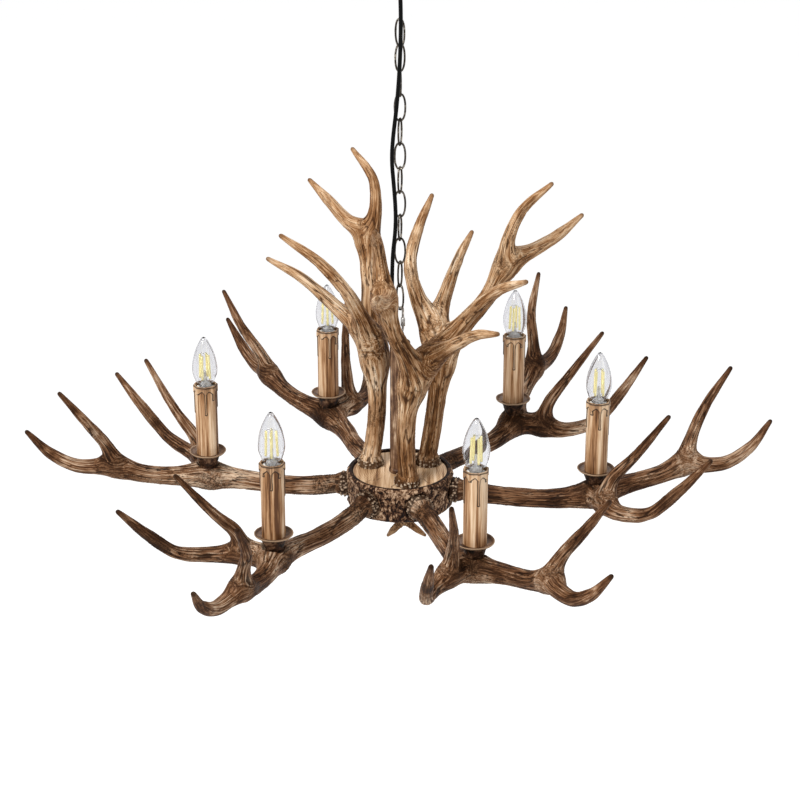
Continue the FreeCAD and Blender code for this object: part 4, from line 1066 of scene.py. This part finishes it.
def make_chain():
    count = len(LINK_TURNS)
    links = [chain_link(CHAIN_TOP - (count - 1 - i) * LINK_PITCH, turn)
             for i, turn in enumerate(LINK_TURNS)]
    piece("chain_first_link", links[-1], BRASS, "top_link", "antique_brass", "chain_top_link")
    piece("chain_strand", joined(links[:-1]), BRASS, "chain", "antique_brass", "chain_links")


def make_screw_link():
    """A bar bent to a long ring, and a six-sided sleeve with chamfered ends on its side."""
    half_width = (SCREW_LINK_WIDTH - SCREW_LINK_WIRE) / 2
    straight = (SCREW_LINK_INNER + LINK_PLAY + SCREW_LINK_WIRE) / 2 - half_width
    t = np.linspace(0, math.pi, 24)
    upper = np.column_stack([half_width * np.cos(t), 0 * t, straight + half_width * np.sin(t)])
    lower = -upper
    side = np.linspace(straight, -straight, 14)[1:-1]
    left = np.column_stack([np.full(12, -half_width), 0 * side, side])
    right = np.column_stack([np.full(12, half_width), 0 * side, -side])
    path = np.vstack([upper, left, lower, right])
    centre = np.array([0, 0, CHAIN_TOP - len(LINK_TURNS) * LINK_PITCH - SCREW_LINK_INNER / 2])
    turn = turned_by("z", SCREW_LINK_TURN).T
    points = tube_grid(path, SCREW_LINK_WIRE / 2, 20, closed=True)
    form = points @ turn + centre, grid_faces(len(path), 20, close_rows=True)
    piece("screw_link_bar", form, STEEL, "screw_link", "antique_brass", "quick_link")
    low = low_of("quick_link_nut")[2] - centre[2]
    length = high_of("quick_link_nut")[2] - low_of("quick_link_nut")[2]
    radius = np.array([(1.68, 0), (2.5, 0), (3.1, 0.7), (3.1, length - 0.7), (2.5, length), (1.68, length)])
    sides = 48
    angle = circle(sides)
    sector = (angle % (math.pi / 3)) - math.pi / 6
    hexagon = math.cos(math.pi / 6) / np.cos(sector)
    share = np.array([0, 0.6, 1, 1, 0.6, 0])[:, None]
    reach = radius[:, :1] * (1 - share + share * hexagon[None])
    points = np.stack([reach * np.cos(angle) + half_width, reach * np.sin(angle),
                       np.repeat(radius[:, 1:2] + low, sides, 1)], 2).reshape(-1, 3)
    form = points @ turn + centre, grid_faces(len(radius), sides, close_rows=True)
    piece("screw_link_nut", form, STEEL, "screw_link_sleeve", "antique_brass", "quick_link_nut")


def ring_points(inner, wire, centre, turn):
    t = circle(72)
    radius = inner + wire / 2
    path = np.column_stack([radius * np.cos(t), 0 * t, radius * np.sin(t)])
    points = tube_grid(path, wire / 2, 22, closed=True) @ turned_by("z", turn).T + centre
    return points, grid_faces(72, 22, close_rows=True)


def make_eye():
    top = high_of("column_eye")[2] - EYE_WIRE
    ring = ring_points(EYE_INNER_RADIUS, EYE_WIRE, [0, 0, top - EYE_INNER_RADIUS], EYE_TURN)
    stem = capped_tube([(0, 0, z) for z in np.linspace(COLUMN_TOP - 25, COLUMN_TOP + 1.5, 10)], 2.0, 20)
    low, high = COLUMN_TOP - 12.9, COLUMN_TOP - 11.2
    washer = turned_grid(rounded([(2.0, low), (5.4, low), (5.4, high), (2.0, high)], 0.4), 40, closed=True)
    piece("ring_bolt", joined([ring, stem, washer]), BRASS, "fixture", "antique_brass", "column_eye")


def make_canopy():
    """Bell-shaped canopy: a smooth outline turned into a thin shell with a rolled rim and a
    hole for the cord, and the collar with its loop."""
    outside = smooth_run([(62.0, -0.1, 0), (62.0, -7, 0), (61.6, -13, 0), (57.0, -21.5, 0), (47.0, -28.0, 0),
                          (30.0, -32.3, 0), (17.0, -34.0, 0), (5.2, -34.0, 0)], 1.3)[:, :2]
    inside = inset(outside, -CANOPY_WALL)
    inside[0, 1] = -0.1
    inside[-1, 0] = 5.2
    points, faces = turned_grid(np.vstack([outside, inside[::-1]]), 144, closed=True)
    middle = points[faces].mean(1)
    faces = faces[np.hypot(middle[:, 0], middle[:, 1] - CORD_ROUTE[0][1]) > CORD_HOLE_RADIUS]
    piece("canopy_bell", (points, faces[:, ::-1]), CANOPY_BRASS, "ceiling", "antique_brass", "canopy")
    rim = circle(48)
    path = np.column_stack([BUSH_RADIUS * np.cos(rim), BUSH_RADIUS * np.sin(rim) + CORD_ROUTE[0][1],
                            0 * rim])
    reach = np.hypot(path[:, 0], path[:, 1])
    path[:, 2] = np.interp(reach, outside[::-1, 0], outside[::-1, 1]) + 0.75
    form = tube_grid(path, 1.5, 16, closed=True), grid_faces(len(path), 16, close_rows=True)
    piece("canopy_cord_bush", form, SHEATH, "ceiling", "black_cord")

    low = CANOPY_LOW - 0.05
    outline = rounded([(0.2, low), (13.0, low), (13.0, low - 4.0), (9.0, low - 7.5),
                       (6.0, low - 9.0), (0.2, low - 9.0)], 1.2)
    points, faces = turned_grid(spaced(outline, 1.0, closed=True), 72, closed=True)
    collar = points, faces[:, ::-1]
    stem = capped_tube([(0, 0, z) for z in np.linspace(low - 1, -0.5, 12)], 5.0, 32)
    loop = ring_points(LOOP_INNER_RADIUS, LOOP_WIRE, [0, 0, CHAIN_TOP + LOOP_INNER_RADIUS], 0)
    piece("canopy_collar_loop", joined([collar, stem, loop]), BRASS, "ceiling", "antique_brass",
          "canopy_loop")


def make_cord():
    """The cord's smooth line through its route, as a spline with a round bevel."""
    curve = bpy.data.curves.new("supply_line", "CURVE")
    curve.dimensions = "3D"
    spline = curve.splines.new("NURBS")
    spline.points.add(len(CORD_ROUTE) - 1)
    for point, (x, y, z) in zip(spline.points, CORD_ROUTE):
        point.co = (x * MM, y * MM, z * MM, 1.0)
    spline.order_u = 3
    spline.use_endpoint_u = True
    spline.resolution_u = 10
    curve.bevel_depth = CORD_DIAMETER / 2 * MM
    curve.bevel_resolution = 6
    curve.use_fill_caps = True
    curve.materials.append(SHEATH)
    cord = placed("supply_cord_line", curve)
    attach(cord, "chain")
    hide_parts("supply_cord")


# --- CAD pieces that keep their shape -----------------------------------------------------
def dress_solids():
    for node, finish in (("ceiling_bracket", ZINC), ("canopy_screws", CANOPY_BRASS), ("antler_screws", ZINC),
                         ("candle_nipples", ZINC), ("lampholders", HOLDER), ("terminal_block", TERMINAL)):
        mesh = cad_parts[node].data
        mesh.materials.clear()
        mesh.materials.append(finish)


# --- studio -------------------------------------------------------------------------------
def plain_white(name, shade, rough, glow):
    """Pale floor, lit evenly to its far edges by a faint glow that starts beyond the light's foot."""
    f = Finish(name)
    tooth = f.noise(f.places(), 40.0, 2.0, 0.5)
    away = f.node("ShaderNodeVectorMath", {"operation": "LENGTH"}, {0: f.places()}, 1)
    far = f.mix(f.clamp(away, 1.6, 3.0), (0.05, 0.05, 0.05), (1.0, 1.0, 1.0))
    return f.coat(colour=f.mix(tooth, (shade, shade, shade), (shade + 0.02,) * 3), roughness=rough,
                  glow=far, glow_strength=glow)


FLOOR_GAP = 2.2            # metres from the light's foot to the floor
FLOOR_HALF = 40.0
CAMERA_LENS = 92.65
CAMERA_BACK = 2.6          # metres in front of the light's middle
CAMERA_RISE = 1.174        # metres over the hub's top
CAMERA_PITCH = 67.6        # degrees from straight down


def make_studio():
    mesh = bpy.data.meshes.new("floor")
    half = FLOOR_HALF
    corners = [(-half, -half, 0), (half, -half, 0), (half, half, 0), (-half, half, 0)]
    mesh.from_pydata(corners, [], [(0, 1, 2, 3)])
    mesh.materials.append(plain_white("floor_white", 0.90, 0.9, 0.50))
    floor = placed("floor", mesh)
    floor.location.z = cad_box[0].z - FLOOR_GAP

    world = bpy.data.worlds.new("studio")
    world.use_nodes = True
    world.node_tree.nodes["Background"].inputs[0].default_value = (1.0, 1.0, 1.0, 1.0)
    world.node_tree.nodes["Background"].inputs[1].default_value = 0.54
    bpy.context.scene.world = world
    for name, place, aim, size, power in (("key", (-1.5, -2.0, 1.9), (0, 0, -0.6), 1.2, 142),
                                          ("fill", (2.4, -1.9, 0.3), (0, 0, -0.65), 1.8, 14),
                                          ("back", (0.6, 2.4, 1.5), (0, 0, -0.6), 1.8, 40)):
        light = bpy.data.lights.new(name, "AREA")
        light.size = size
        light.energy = power
        lamp = placed(name, light)
        lamp.location = place
        lamp.rotation_euler = (Vector(aim) - Vector(place)).to_track_quat("-Z", "Y").to_euler()


def make_camera():
    camera = bpy.data.cameras.new("camera")
    camera.sensor_width = 36.0
    camera.lens = CAMERA_LENS
    camera.clip_end = 200
    eye = placed("camera", camera)
    eye.location = (0.0, -CAMERA_BACK, HUB_TOP * MM + CAMERA_RISE)
    eye.rotation_euler = (math.radians(CAMERA_PITCH), 0, 0)
    bpy.context.scene.camera = eye
    bpy.context.scene.view_settings.view_transform = "Standard"


make_camera()
make_cord()
make_arms()
make_uprights()
make_finial()
make_hub_ring()
make_discs()
make_column()
for number in range(1, 7):
    make_cup(number)
    make_pan(number)
    make_sleeve(number)
    make_bulb(number)
make_chain()
make_screw_link()
make_eye()
make_canopy()
dress_solids()
make_studio()
